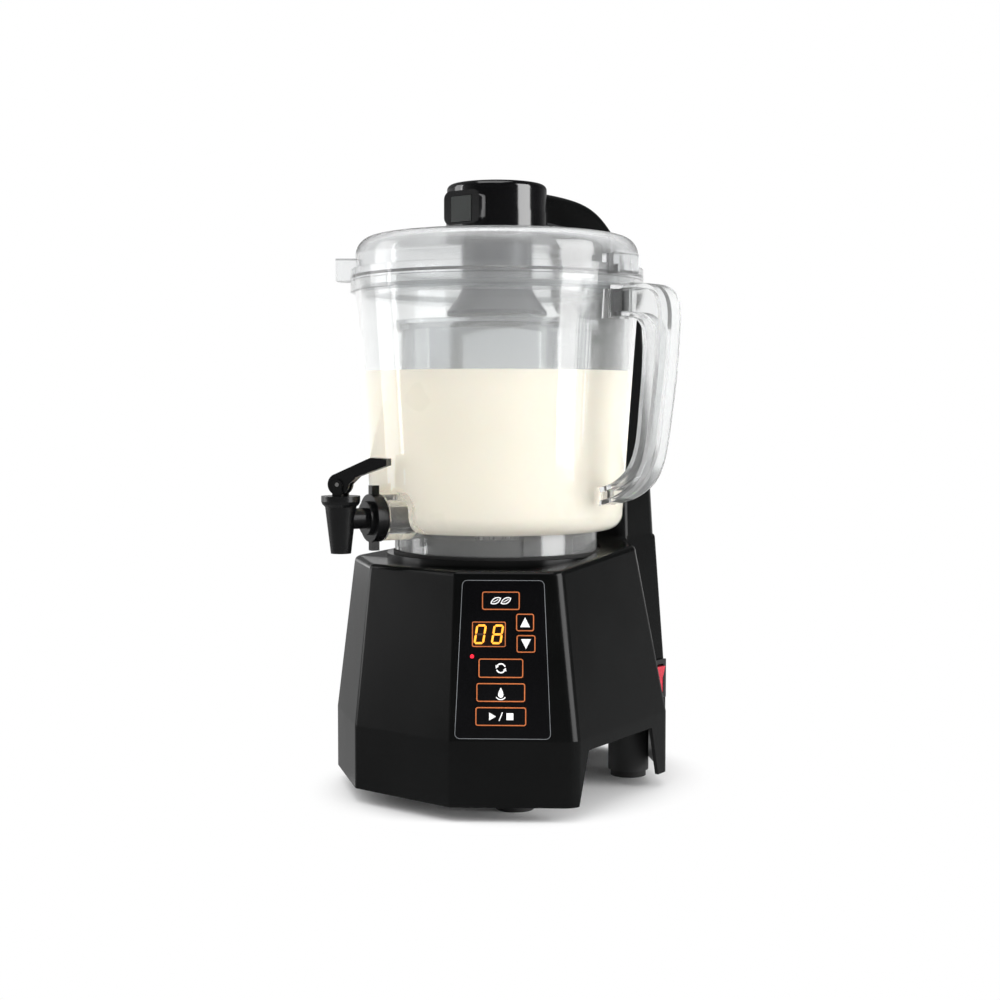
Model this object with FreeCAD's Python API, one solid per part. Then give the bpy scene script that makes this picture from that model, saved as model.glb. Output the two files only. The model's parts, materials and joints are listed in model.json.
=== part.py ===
import FreeCAD, Part
import math
import os

os.makedirs("parts", exist_ok=True)

# All sizes are millimetres. The frame stands on the table plane z = 0, with the bowl's axis on Z.
# The column stands at +Y, the handle points to +X and the control panel faces (+X, -Y).

# Heights of the main planes
SHELL_Z = 11.0
CREASE_Z = 58.0
SHOULDER_Z = 177.0
REAR_SHOULDER_Z = 188.0
SEAT_Z = 182.0
BOWL_Z = 200.0
RIM_Z = 387.0
LID_HEIGHT = 34.0
HEAD_GAP = 1.0
HEAD_HEIGHT = 38.0
LID_TOP_Z = RIM_Z + LID_HEIGHT
HEAD_Z = LID_TOP_Z + HEAD_GAP
HEAD_TOP_Z = HEAD_Z + HEAD_HEIGHT

# Bowl, lid and head radii
RIM_R = 107.5
FOOT_R = 96.0
BOWL_WALL = 3.5
FLANGE_R = 111.0
COLLAR_R = 76.5
HEAD_R = 38.5
HUB_R = 27.0

# Round seat of the bowl's collar in the deck, the boss round it and the rim that centres the collar
RECESS_R = COLLAR_R + 3.0
BOSS_R = COLLAR_R + 7.5
CENTRING_R = COLLAR_R - 7.3

# Base outline: half width and distance of the front facet, side distance, rear points.
# The diagonal facets are turned from the front one by FACET_TURN. The deck leaves a ledge round the boss.
FACET_TURN = math.radians(36.5)
LOW_HALF, LOW_FRONT, LOW_SIDE = 46.0, 109.5, 117.0
LEDGE_FRONT, LEDGE_SIDE = 13.5, 16.0
TOP_HALF, TOP_FRONT, TOP_SIDE = 41.0, BOSS_R + LEDGE_FRONT, BOSS_R + LEDGE_SIDE
LOW_TUCK, TOP_TUCK = 15.0, 12.0
REAR_HALF, REAR_Y = 44.0, 173.0
WALL = 3.0
DECK_ROUND = 4.0

# Column and arm
COLUMN_FRONT_Y, COLUMN_REAR_Y = 116.0, 166.4
COLUMN_HALF = 38.0
HINGE_DROP = 36.0
HINGE_Y, HINGE_Z, HINGE_R = 133.0, HEAD_Z - HINGE_DROP, 18.0
ARM_HALF = 26.0
PIN_R = 4.0

# Drive
SHAFT_R = 5.0
STATOR_R = 52.0
ROTOR_R = 29.0
RUN = 0.05

# Spigot: direction about Z, height of its axis, how far its outlet stands out from the bowl's foot
SPIGOT_TURN = -112.0
SPIGOT_Z = 211.0
SPIGOT_REACH = 34.0
SPIGOT_R = FOOT_R + SPIGOT_REACH

V = FreeCAD.Vector
Z_AXIS = V(0, 0, 1)
Y_AXIS = V(0, 1, 0)
X_AXIS = V(1, 0, 0)


def save(shape, node):
    shape.exportStep("parts/" + node + ".step")


def cyl(r, x, y, z0, z1):
    return Part.makeCylinder(r, z1 - z0, V(x, y, z0), Z_AXIS)


def tube(ro, ri, z0, z1, x=0.0, y=0.0):
    return cyl(ro, x, y, z0, z1).cut(cyl(ri, x, y, z0 - 1.0, z1 + 1.0))


def rod_x(r, x0, x1, y, z):
    return Part.makeCylinder(r, x1 - x0, V(x0, y, z), X_AXIS)


def box(x0, x1, y0, y1, z0, z1):
    return Part.makeBox(x1 - x0, y1 - y0, z1 - z0, V(x0, y0, z0))


def plate_x(points, x0, x1):
    """Closed (y, z) polygon drawn out along X."""
    wire = Part.makePolygon([V(x0, y, z) for y, z in points + points[:1]])
    return Part.Face(wire).extrude(V(x1 - x0, 0, 0))


def plate_y(points, y0, y1):
    """Closed (x, z) polygon drawn out along Y."""
    wire = Part.makePolygon([V(x, y0, z) for x, z in points + points[:1]])
    return Part.Face(wire).extrude(V(0, y1 - y0, 0))


def plate_z(points, z0, z1):
    """Closed (x, y) polygon drawn out along Z."""
    wire = Part.makePolygon([V(x, y, z0) for x, y in points + points[:1]])
    return Part.Face(wire).extrude(V(0, 0, z1 - z0))


def turned(path):
    """Solid of revolution about Z from (r, z) points; a 4-tuple is an arc through its first point."""
    edges = []
    here = V(path[0][0], 0, path[0][1])
    for step in path[1:] + path[:1]:
        end = V(step[-2], 0, step[-1])
        if len(step) == 4:
            edges.append(Part.Arc(here, V(step[0], 0, step[1]), end).toShape())
        elif here.distanceToPoint(end) > 1e-6:
            edges.append(Part.LineSegment(here, end).toShape())
        here = end
    return Part.Face(Part.Wire(edges)).revolve(V(0, 0, 0), Z_AXIS, 360)


def rounded(points, radii, z):
    """Wire at height z through (x, y) points, each corner rounded by its radius."""
    edges = []
    joins = []
    count = len(points)
    for i in range(count):
        p = V(points[i][0], points[i][1], z)
        a = V(points[i - 1][0], points[i - 1][1], z) - p
        b = V(points[(i + 1) % count][0], points[(i + 1) % count][1], z) - p
        a.normalize()
        b.normalize()
        half = math.acos(max(-1.0, min(1.0, a.dot(b)))) / 2.0
        reach = radii[i] / math.tan(half)
        middle = a + b
        middle.normalize()
        mid = p + middle * (radii[i] / math.sin(half) - radii[i])
        joins.append((p + a * reach, mid, p + b * reach))
    for i in range(count):
        start, mid, end = joins[i]
        edges.append(Part.Arc(start, mid, end).toShape())
        edges.append(Part.LineSegment(end, joins[(i + 1) % count][0]).toShape())
    return Part.Wire(edges)


def mirrored_points(half):
    """Right half of an outline, front to rear, completed to the left."""
    return half + [(-x, y) for x, y in reversed(half)]


def spun(shape, angle, x=0.0, y=0.0):
    copy = shape.copy()
    copy.rotate(V(x, y, 0), Z_AXIS, angle)
    return copy


# ---- Base outline sections -------------------------------------------------------------------
FACET_SIN, FACET_COS = math.sin(FACET_TURN), math.cos(FACET_TURN)
LOW_DIST = LOW_HALF * FACET_SIN + LOW_FRONT * FACET_COS
TOP_DIST = TOP_HALF * FACET_SIN + TOP_FRONT * FACET_COS


def facet_corners(distance, front, side):
    """Ends of the diagonal facet that lies so far from the axis, on the front and on the side."""
    return [
        ((distance - front * FACET_COS) / FACET_SIN, -front),
        (side, (side * FACET_SIN - distance) / FACET_COS),
    ]


def low_outline(inset):
    """Outline of the skirt, moved inwards by inset."""
    rear_x = LOW_SIDE - LOW_TUCK
    return mirrored_points(facet_corners(LOW_DIST - inset, LOW_FRONT - inset, LOW_SIDE - inset) + [
        (rear_x - 0.95 * inset, 82.0 - 0.35 * inset),
        (REAR_HALF - inset, 82.0 + (rear_x - REAR_HALF) - 0.41 * inset),
        (REAR_HALF - inset, REAR_Y - inset),
    ])


def top_outline(inset):
    """Outline at the shoulder height, moved inwards by inset."""
    rear_x = TOP_SIDE - TOP_TUCK
    return mirrored_points(facet_corners(TOP_DIST - inset, TOP_FRONT - inset, TOP_SIDE - inset) + [
        (rear_x - 0.95 * inset, 62.0 - 0.35 * inset),
        (COLUMN_HALF - inset, 62.0 + (rear_x - COLUMN_HALF) - 0.41 * inset),
        (COLUMN_HALF - inset, COLUMN_REAR_Y - 0.4 - inset),
    ])


def upward(inset, z):
    """Outline on the taper at height z, carried on past the shoulder."""
    t = (z - CREASE_Z) / (SHOULDER_Z - CREASE_Z)
    return [
        (a[0] + (b[0] - a[0]) * t, a[1] + (b[1] - a[1]) * t)
        for a, b in zip(low_outline(inset), top_outline(inset))
    ]


CORNER_RADII = [5.0, 13.0, 9.0, 7.0, 5.0]


def corner_radii(inset):
    return [max(r - inset, 1.2) for r in CORNER_RADII + CORNER_RADII[::-1]]


def taper_body(inset, z0):
    radii = corner_radii(inset)
    low = rounded(low_outline(inset), radii, z0)
    crease = rounded(low_outline(inset), radii, CREASE_Z)
    high = rounded(upward(inset, REAR_SHOULDER_Z + 10.0), radii, REAR_SHOULDER_Z + 10.0)
    return Part.makeLoft([low, crease], True, True).fuse(Part.makeLoft([crease, high], True, True))


SLOPE_Y0, SLOPE_Y1 = top_outline(0.0)[1][1], 72.5


def under_deck(drop):
    """Everything below the deck, which slopes up to the rear; it reaches past the base on all sides."""
    front, rear, side = -1.5 * LOW_FRONT, 1.3 * REAR_Y, 1.4 * LOW_SIDE
    return plate_x([
        (front, -20.0), (rear, -20.0), (rear, REAR_SHOULDER_Z - drop), (SLOPE_Y1, REAR_SHOULDER_Z - drop),
        (SLOPE_Y0, SHOULDER_Z - drop), (front, SHOULDER_Z - drop),
    ], -side, side)


# ---- Control facet frame: u to the right, v up the facet, n out of it ---------------------------
TILT = math.atan2(LOW_DIST - TOP_DIST, SHOULDER_Z - CREASE_Z)
PANEL_Z = 0.5 * (CREASE_Z + SHOULDER_Z) - 2.5
PANEL_U = 9.0


def facet_distance(z):
    return LOW_DIST + (TOP_DIST - LOW_DIST) * (z - CREASE_Z) / (SHOULDER_Z - CREASE_Z)


def on_facet(shape):
    """Moves a shape made with x = u, y = v, z = n onto the control facet."""
    c, s = math.cos(TILT), math.sin(TILT)
    d = facet_distance(PANEL_Z)
    matrix = FreeCAD.Matrix(
        FACET_COS, -s * FACET_SIN, c * FACET_SIN, d * FACET_SIN,
        FACET_SIN, s * FACET_COS, -c * FACET_COS, -d * FACET_COS,
        0.0, c, s, PANEL_Z,
        0.0, 0.0, 0.0, 1.0,
    )
    return shape.transformGeometry(matrix)


def facet_v(z):
    return (z - PANEL_Z) / math.cos(TILT)


def key_block(u, z, width, height, n0, n1, radius):
    v = facet_v(z)
    points = [
        (u - width / 2, v - height / 2), (u + width / 2, v - height / 2),
        (u + width / 2, v + height / 2), (u - width / 2, v + height / 2),
    ]
    return Part.Face(rounded(points, [radius] * 4, n0)).extrude(V(0, 0, n1 - n0))


def panel_block(inset, n0, n1, radius):
    v0 = facet_v(CREASE_Z + 1.5) + inset
    v1 = facet_v(SHOULDER_Z - 6.0) - inset
    points = [
        (PANEL_U - 34.3 + inset, v0), (PANEL_U + 34.3 - inset, v0),
        (PANEL_U + 29.3 - inset, v1), (PANEL_U - 29.3 + inset, v1),
    ]
    return Part.Face(rounded(points, [radius] * 4, n0)).extrude(V(0, 0, n1 - n0))


# Keys: name, u, height of centre, width, height
KEYS = [
    ("key_butter", 7.4, 156.3, 27.3, 13.6),
    ("key_up", 24.5, 141.2, 13.4, 13.0),
    ("key_down", 25.2, 126.3, 14.0, 13.0),
    ("key_mix", 7.6, 109.2, 32.2, 14.2),
    ("key_dispense", 7.6, 92.3, 35.0, 13.8),
    ("key_start_stop", 7.7, 75.6, 36.4, 13.8),
]
DISPLAY = (-1.0, 132.8, 24.2, 18.2)
LED_U, LED_Z = -12.8, 117.3
KEY_GAP = 0.2

# ---- Base shell ----------------------------------------------------------------------------------
def column_foot(inset):
    """Outline of the column where it stands on the deck."""
    x = COLUMN_HALF - inset
    return mirrored_points([(x, COLUMN_FRONT_Y + inset), (x, COLUMN_REAR_Y - inset)])


def deck_edges(solid):
    """Edges where the deck meets the tapering sides."""
    found = []
    for edge in solid.Edges:
        m = edge.valueAt((edge.FirstParameter + edge.LastParameter) / 2.0)
        faces = [f for f in solid.Faces if any(e.isSame(edge) for e in f.Edges)]
        rises = [f.normalAt(*f.Surface.parameter(m)).z for f in faces]
        if max(rises) > 0.99 and min(rises) < 0.6 and m.z > CREASE_Z:
            found.append(edge)
    return found


COLUMN_RADII = (8.0, 12.0, 12.0, 8.0)
sharp = taper_body(0.0, SHELL_Z).common(under_deck(0.0))
foot = Part.Face(rounded(column_foot(0.0), COLUMN_RADII, REAR_SHOULDER_Z - 3.0 * DECK_ROUND))
foot = foot.extrude(V(0, 0, 3.0 * DECK_ROUND)).common(sharp)
outer = sharp.makeFillet(DECK_ROUND, deck_edges(sharp)).fuse(foot)
inner = taper_body(WALL, SHELL_Z - 5.0).common(under_deck(WALL))
keep = cyl(RECESS_R + 3.0, 0, 0, SEAT_Z - WALL, SEAT_Z + 40.0)
inner = inner.cut(keep).fuse(cyl(BOSS_R - 3.0, 0, 0, SHOULDER_Z - 20.0, SEAT_Z - WALL))
shell = outer.fuse(cyl(BOSS_R, 0, 0, SHOULDER_Z - 12.0, SEAT_Z))
shell = shell.cut(inner).cut(cyl(RECESS_R, 0, 0, SEAT_Z, SEAT_Z + 40.0))
shell = shell.cut(cyl(24.0, 0, 0, SEAT_Z - 20.0, SEAT_Z + 20.0))
shell = shell.fuse(tube(CENTRING_R, CENTRING_R - WALL, SEAT_Z - 1.0, BOWL_Z - 4.0))
arch = [(-55.0, 0.0), (72.0, 0.0), (58.0, 49.0), (-38.0, 49.0)]
shell = shell.cut(plate_x(arch, -130.0, 130.0))
shell = shell.cut(on_facet(panel_block(0.0, -1.0, 12.0, 4.0)))
shell = shell.cut(on_facet(panel_block(4.0, -12.0, 2.0, 3.0)))
COLUMN_HOLE = box(-20.0, 20.0, COLUMN_FRONT_Y + 9.0, 152.0, SHOULDER_Z, REAR_SHOULDER_Z + 5.0)
shell = shell.cut(COLUMN_HOLE)
ROCKER_Y, ROCKER_Z = 157.0, 67.0
ROCKER_X = REAR_HALF - 0.45
ROCKER_DEPTH = 18.0
shell = shell.cut(box(30.0, 60.0, ROCKER_Y - 8.6, ROCKER_Y + 8.6, ROCKER_Z - 13.6, ROCKER_Z + 13.6))
INLET_Z = 84.0
shell = shell.cut(box(-15.2, 15.2, 150.0, 190.0, INLET_Z - 12.2, INLET_Z + 12.2))
vents = []
for k in range(7):
    z = 118.0 + 7.0 * k
    vents.append(box(-22.0, 22.0, 150.0, 190.0, z, z + 3.0))
shell = shell.cut(vents[0].multiFuse(vents[1:]))
save(shell, "base_shell")

# ---- Bottom cover with its four foot posts, feet and screws --------------------------------------
PLATE_Z = CREASE_Z - 6.0
cover_wire = rounded(low_outline(WALL + 0.3), corner_radii(WALL + 0.3), PLATE_Z)
cover = Part.Face(cover_wire).extrude(V(0, 0, 3.0))
FEET = [(55.0, -47.0), (-55.0, -47.0), (57.0, 96.0), (-57.0, 96.0)]
POST_Z = 5.0
cover = cover.multiFuse([cyl(16.0, x, y, POST_Z, PLATE_Z + 1.0) for x, y in FEET])
cover = cover.cut(Part.makeCompound([cyl(3.6, x, y, POST_Z - 1.0, POST_Z + 7.0) for x, y in FEET]))
BRACKETS = [(74.0, 58.0), (-74.0, 58.0), (0.0, -84.0), (0.0, 130.0)]
cover = cover.cut(Part.makeCompound([cyl(2.2, x, y, PLATE_Z - 1.0, PLATE_Z + 4.0) for x, y in BRACKETS]))
vent_cuts = []
for k in range(-4, 5):
    vent_cuts.append(box(-30.0, 30.0, 8.0 * k - 1.5, 8.0 * k + 1.5, PLATE_Z - 1.0, PLATE_Z + 4.0))
room_x = ROCKER_X - ROCKER_DEPTH - 0.5
switch_room = box(room_x, LOW_SIDE, ROCKER_Y - 8.9, ROCKER_Y + 8.9, PLATE_Z - 1.0, PLATE_Z + 4.0)
cover = cover.cut(vent_cuts[0].multiFuse(vent_cuts[1:])).cut(switch_room).removeSplitter()
save(cover, "base_bottom_cover")

feet = [cyl(14.0, x, y, 0.0, POST_Z).fuse(cyl(3.5, x, y, POST_Z, POST_Z + 6.0)) for x, y in FEET]
save(Part.makeCompound(feet), "rubber_feet")
screws = []
for x, y in BRACKETS:
    screw = cyl(4.0, x, y, PLATE_Z - 2.2, PLATE_Z).fuse(cyl(2.0, x, y, PLATE_Z, PLATE_Z + 8.0))
    screws.append(screw.cut(box(x - 3.0, x + 3.0, y - 0.5, y + 0.5, PLATE_Z - 3.0, PLATE_Z - 1.2)))
save(Part.makeCompound(screws), "cover_screws")

# ---- Control panel -------------------------------------------------------------------------------
fascia = panel_block(0.15, -1.0, 0.4, 4.0)
for name, u, z, w, h in KEYS:
    fascia = fascia.cut(key_block(u, z, w, h, -3.0, 3.0, 2.0))
fascia = fascia.cut(key_block(*DISPLAY, -3.0, 3.0, 1.0))
fascia = fascia.cut(Part.makeCylinder(1.45, 6.0, V(LED_U, facet_v(LED_Z), -3.0), Z_AXIS))
save(on_facet(fascia), "control_fascia")

BOARD_N = -5.4
for name, u, z, w, h in KEYS:
    cap = key_block(u, z, w - 2 * KEY_GAP, h - 2 * KEY_GAP, -1.0, 1.0, 1.8)
    lip = key_block(u, z, w + 1.0, h + 0.6, -2.2, -1.0, 2.0)
    save(on_facet(cap.fuse(lip).removeSplitter()), name)

display = key_block(DISPLAY[0], DISPLAY[1], DISPLAY[2] - 0.3, DISPLAY[3] - 0.3, BOARD_N, 0.3, 0.9)
save(on_facet(display), "display_module")
led = Part.makeCylinder(1.3, 0.5 - BOARD_N, V(LED_U, facet_v(LED_Z), BOARD_N), Z_AXIS)
save(on_facet(led), "status_led")
board = panel_block(1.5, BOARD_N - 1.6, BOARD_N, 2.0)
pillars = []
pillar_low, pillar_high = CREASE_Z + 7.5, SHOULDER_Z - 12.5
for u, z in ((-26.8, pillar_low), (26.8, pillar_low), (-22.4, pillar_high), (22.4, pillar_high)):
    pillars.append(Part.makeCylinder(1.8, -1.0 - BOARD_N, V(PANEL_U + u, facet_v(z), BOARD_N), Z_AXIS))
board = board.multiFuse(pillars).removeSplitter()
switches = []
for name, u, z, w, h in KEYS:
    switches.append(key_block(u, z, 6.0, 6.0, BOARD_N, -3.4, 0.5))
    switches[-1] = switches[-1].fuse(Part.makeCylinder(1.7, 0.65, V(u, facet_v(z), -3.4), Z_AXIS))
save(on_facet(Part.makeCompound([board] + switches)), "control_board")

# ---- Rocker switch -------------------------------------------------------------------------------


def switch_block(depth, proud, half_y, half_z):
    """Box about the rocker's centre, from depth inside the wall to proud of it."""
    x0, x1 = ROCKER_X - depth, ROCKER_X + proud
    return box(x0, x1, ROCKER_Y - half_y, ROCKER_Y + half_y, ROCKER_Z - half_z, ROCKER_Z + half_z)


bezel = switch_block(ROCKER_DEPTH, 0.45, 8.4, 13.4).fuse(switch_block(-0.45, 2.2, 10.5, 16.0))
bezel = bezel.cut(switch_block(9.0, 6.0, 6.7, 12.3))
PIVOT_X = ROCKER_X - 0.6
pin_bore = Part.makeCylinder(1.55, 15.6, V(PIVOT_X, ROCKER_Y - 7.8, ROCKER_Z), Y_AXIS)
bezel = bezel.cut(pin_bore).removeSplitter()
save(bezel, "rocker_frame")
rocker = plate_y([
    (PIVOT_X + 3.6, ROCKER_Z + 11.2), (PIVOT_X + 2.2, ROCKER_Z), (PIVOT_X + 3.6, ROCKER_Z - 11.2),
    (PIVOT_X - 5.0, ROCKER_Z - 9.5), (PIVOT_X - 5.0, ROCKER_Z + 9.5),
], ROCKER_Y - 6.4, ROCKER_Y + 6.4)
rocker = rocker.fuse(Part.makeCylinder(1.5, 15.0, V(PIVOT_X, ROCKER_Y - 7.5, ROCKER_Z), Y_AXIS))
rocker.rotate(V(PIVOT_X, ROCKER_Y, ROCKER_Z), Y_AXIS, 7.0)
save(rocker.removeSplitter(), "power_rocker")

# ---- Mains inlet and power board -----------------------------------------------------------------
INLET_Y = REAR_Y - 1.2
inlet = box(-15.0, 15.0, INLET_Y - 20.0, INLET_Y + 0.6, INLET_Z - 12.0, INLET_Z + 12.0)
inlet = inlet.fuse(box(-20.0, 20.0, INLET_Y + 0.6, INLET_Y + 3.0, INLET_Z - 15.0, INLET_Z + 15.0))
inlet = inlet.cut(box(-12.5, 12.5, INLET_Y - 15.0, INLET_Y + 5.0, INLET_Z - 9.0, INLET_Z + 9.0))
save(inlet.removeSplitter(), "mains_inlet")
pins = []
for x, z in ((-7.0, -1.0), (0.0, 3.0), (7.0, -1.0)):
    pins.append(box(x - 1.0, x + 1.0, INLET_Y - 15.0, INLET_Y - 3.0, INLET_Z + z - 2.0, INLET_Z + z + 2.0))
save(Part.makeCompound(pins), "inlet_pins")
power = box(-88.0, -60.0, -30.0, 50.0, PLATE_Z + 3.0, PLATE_Z + 4.6)
power = power.multiFuse([
    box(-84.0, -66.0, -24.0, 2.0, PLATE_Z + 4.6, PLATE_Z + 26.0),
    cyl(7.0, -74.0, 14.0, PLATE_Z + 4.6, PLATE_Z + 30.0),
    box(-82.0, -68.0, 26.0, 44.0, PLATE_Z + 4.6, PLATE_Z + 20.0),
]).removeSplitter()
save(power, "power_board")

# ---- Motor, hung from the deck -------------------------------------------------------------------
M0, M1 = PLATE_Z + 20.0, PLATE_Z + 78.0
save(tube(STATOR_R, ROTOR_R + 1.0, M0, M1), "motor_stator")
lower = turned([
    (10.0, M0 - 8.0), (30.0, M0 - 8.0), (STATOR_R, M0 - 3.0), (STATOR_R, M0),
    (ROTOR_R + 2.0, M0), (ROTOR_R + 2.0, M0 - 3.0), (10.0, M0 - 3.0),
])
upper = turned([
    (10.0, M1 + 3.0), (ROTOR_R + 2.0, M1 + 3.0), (ROTOR_R + 2.0, M1),
    (STATOR_R, M1), (STATOR_R, M1 + 6.0), (10.0, M1 + 6.0),
])
save(Part.makeCompound([lower, upper]), "motor_bells")
bearings = [tube(10.0, SHAFT_R + RUN, M0 - 8.0, M0 - 3.0), tube(10.0, SHAFT_R + RUN, M1 + 3.0, M1 + 6.0)]
save(Part.makeCompound(bearings), "motor_bearings")
DECK_UNDER = SEAT_Z - WALL
hanger = tube(STATOR_R + 8.0, 44.0, M1 + 6.0, M1 + 9.0)
HANG_R = STATOR_R + 2.0
posts = []
for k in range(4):
    a = math.radians(45 + 90 * k)
    x, y = HANG_R * math.cos(a), HANG_R * math.sin(a)
    posts.append(cyl(5.0, x, y, M1 + 8.0, DECK_UNDER))
save(hanger.multiFuse(posts).removeSplitter(), "motor_hanger")
rotor = cyl(ROTOR_R, 0, 0, M0 + 3.0, M1 - 3.0).fuse(cyl(SHAFT_R, 0, 0, M0 - 10.0, SEAT_Z + 3.0))
save(rotor.removeSplitter(), "motor_rotor")
FAN_Z = M1 + 13.0
blades = []
for k in range(9):
    blade = box(7.0, 40.0, -0.8, 0.8, FAN_Z, FAN_Z + 13.0)
    blade.rotate(V(20.0, 0, FAN_Z + 6.5), X_AXIS, 28.0)
    blades.append(spun(blade, 40.0 * k))
fan = tube(10.0, SHAFT_R, FAN_Z - 1.0, FAN_Z + 14.0).multiFuse(blades).removeSplitter()
save(fan, "cooling_fan")
coupling = tube(15.0, SHAFT_R, SEAT_Z - 8.0, SEAT_Z - 1.0)


def hexagon(corner_r, z0, z1, turn=0.0):
    points = []
    for k in range(6):
        a = math.radians(60.0 * k + turn)
        points.append((corner_r * math.cos(a), corner_r * math.sin(a)))
    return plate_z(points, z0, z1)


drive_hex = hexagon(11.0, SEAT_Z - 1.0, SEAT_Z + 13.0).cut(cyl(SHAFT_R, 0, 0, SEAT_Z - 2.0, SEAT_Z + 3.0))
save(coupling.fuse(drive_hex).removeSplitter(), "drive_coupling")

# ---- Bowl ----------------------------------------------------------------------------------------
FLOOR_Z = BOWL_Z + 5.0
SEAL_R = 9.0
save(tube(RECESS_R - 0.3, COLLAR_R - 7.0, SEAT_Z, SEAT_Z + 2.0), "bowl_seat_ring")
outside = [
    (FOOT_R - 12.0, BOWL_Z),
    (FOOT_R - 3.5, BOWL_Z + 3.5, FOOT_R, BOWL_Z + 12.0),
    (RIM_R, RIM_Z - 8.0), (FLANGE_R, RIM_Z - 8.0), (FLANGE_R, RIM_Z),
]
filled = turned([(0.0, BOWL_Z)] + outside + [(0.0, RIM_Z)])
bowl = turned([(SEAL_R, BOWL_Z)] + outside + [
    (RIM_R - BOWL_WALL, RIM_Z),
    (FOOT_R - BOWL_WALL, BOWL_Z + 14.0),
    (FOOT_R - BOWL_WALL - 2.6, FLOOR_Z + 2.6, FOOT_R - BOWL_WALL - 9.0, FLOOR_Z),
    (SEAL_R, FLOOR_Z),
])


def at_spigot(shape):
    return spun(shape, SPIGOT_TURN)


# Well in the lower wall, outward of the collar, in which the spigot's boss stands free
WELL_HALF, WELL_ROUND = 32.0, 14.0
WELL_TOP = SPIGOT_Z + 20.0


def well(grow):
    """The well with its upper edges rounded, grown by a wall."""
    half, top = WELL_HALF + grow, WELL_TOP + grow
    room = box(COLLAR_R - grow, FOOT_R + 20.0, -half, half, BOWL_Z - 20.0, top)
    upper = [e for e in room.Edges if e.BoundBox.ZMin > top - 1.0 and e.BoundBox.YLength < 1.0]
    return at_spigot(room.makeFillet(WELL_ROUND + grow, upper))


bowl = bowl.fuse(well(BOWL_WALL).common(filled)).cut(well(0.0))
bowl = bowl.fuse(tube(COLLAR_R, COLLAR_R - 3.0, SEAT_Z + 2.0, BOWL_Z + 1.0))
pads = []
for k in range(3):
    pad = tube(COLLAR_R + 1.6, COLLAR_R - 1.0, SEAT_Z + 3.0, BOWL_Z - 2.0)
    sector = plate_z([(0, 0), (110.0, -31.0), (110.0, 31.0)], SEAT_Z, BOWL_Z + 2.0)
    pads.append(spun(pad.common(sector), -21.0 + 120.0 * k))
bowl = bowl.multiFuse(pads)
UPPER_BLOCK = (RIM_R + 6.5, RIM_Z - 31.0, RIM_Z - 10.0)
LOWER_BLOCK = (FOOT_R + 9.0, BOWL_Z + 21.5, BOWL_Z + 34.5)
bowl = bowl.fuse(box(RIM_R - 3.5, UPPER_BLOCK[0], -11.0, 11.0, UPPER_BLOCK[1], UPPER_BLOCK[2]))
bowl = bowl.fuse(box(FOOT_R - 1.5, LOWER_BLOCK[0], -8.0, 8.0, LOWER_BLOCK[1], LOWER_BLOCK[2]))
BOSS_IN, BOSS_OUT = COLLAR_R - BOWL_WALL, FOOT_R + 1.5
spout_boss = rod_x(17.0, BOSS_IN, BOSS_OUT, 0.0, SPIGOT_Z)
bowl = bowl.fuse(at_spigot(spout_boss))
bowl = bowl.cut(at_spigot(rod_x(8.0, BOSS_IN - 1.0, BOSS_OUT + 1.0, 0.0, SPIGOT_Z)))
save(bowl.removeSplitter(), "mixing_bowl")

save(tube(SEAL_R, SHAFT_R + RUN, BOWL_Z, FLOOR_Z + 2.0), "shaft_seal")
cup = cyl(17.0, 0, 0, SEAT_Z + 3.5, BOWL_Z - 1.0).cut(hexagon(11.4, SEAT_Z + 2.0, SEAT_Z + 14.0))
cup = cup.fuse(cyl(SHAFT_R, 0, 0, BOWL_Z - 1.5, FLOOR_Z + 38.0)).removeSplitter()
save(cup, "bowl_shaft")
hub = turned([
    (SHAFT_R, FLOOR_Z + 3.0), (17.0, FLOOR_Z + 3.0), (17.0, FLOOR_Z + 12.0),
    (13.0, FLOOR_Z + 32.0), (11.0, FLOOR_Z + 39.5, 6.0, FLOOR_Z + 42.5),
    (0.0, FLOOR_Z + 42.5), (0.0, FLOOR_Z + 38.0), (SHAFT_R, FLOOR_Z + 38.0),
])
save(hub, "blade_hub")
cutters = []
for k in range(4):
    z = FLOOR_Z + 7.0 + 7.0 * (k % 2)
    blade = plate_z([(13.5, -6.0), (46.0, -3.0), (52.0, 5.0), (40.0, 5.5), (13.5, 6.0)], z, z + 1.6)
    blade = blade.cut(cyl(16.0, 0, 0, z - 1.0, z + 3.0)).fuse(tube(20.0, 16.0, z, z + 1.6))
    cutters.append(spun(blade, 90.0 * k))
cutters = Part.makeCompound([cutters[0].fuse(cutters[2]), cutters[1].fuse(cutters[3])])
save(cutters.cut(hub), "blades")

# ---- Filter basket -------------------------------------------------------------------------------
BASKET_R = 79.0
BASKET_TOP = RIM_Z - 30.0
SIEVE_R = BOSS_IN - 0.5
SIEVE_IN = SIEVE_R - 2.0
rim = turned([
    (SIEVE_IN, BASKET_TOP - 7.0), (BASKET_R - 1.5, BASKET_TOP - 7.0), (BASKET_R, BASKET_TOP - 3.0),
    (BASKET_R, BASKET_TOP), (SIEVE_IN, BASKET_TOP),
])
wall0, wall1 = FLOOR_Z, BASKET_TOP - 7.0
frame = tube(SIEVE_R, SIEVE_IN, wall0, wall1)
frame = frame.fuse(tube(SIEVE_R, SIEVE_R - 16.0, wall0, wall0 + 2.5))
MESH_Z0, MESH_Z1 = wall0 + 12.0, wall0 + 106.0
windows = []
for k in range(6):
    window = box(SIEVE_IN - 15.0, SIEVE_R + 5.0, -28.0, 28.0, MESH_Z0 + 2.0, MESH_Z1 - 2.0)
    windows.append(spun(window, 60.0 * k + 30.0))
frame = frame.cut(windows[0].multiFuse(windows[1:])).fuse(rim).removeSplitter()
save(frame, "filter_basket")
mesh = tube(SIEVE_IN, SIEVE_IN - 0.6, MESH_Z0, MESH_Z1)
save(mesh, "filter_mesh")

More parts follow.
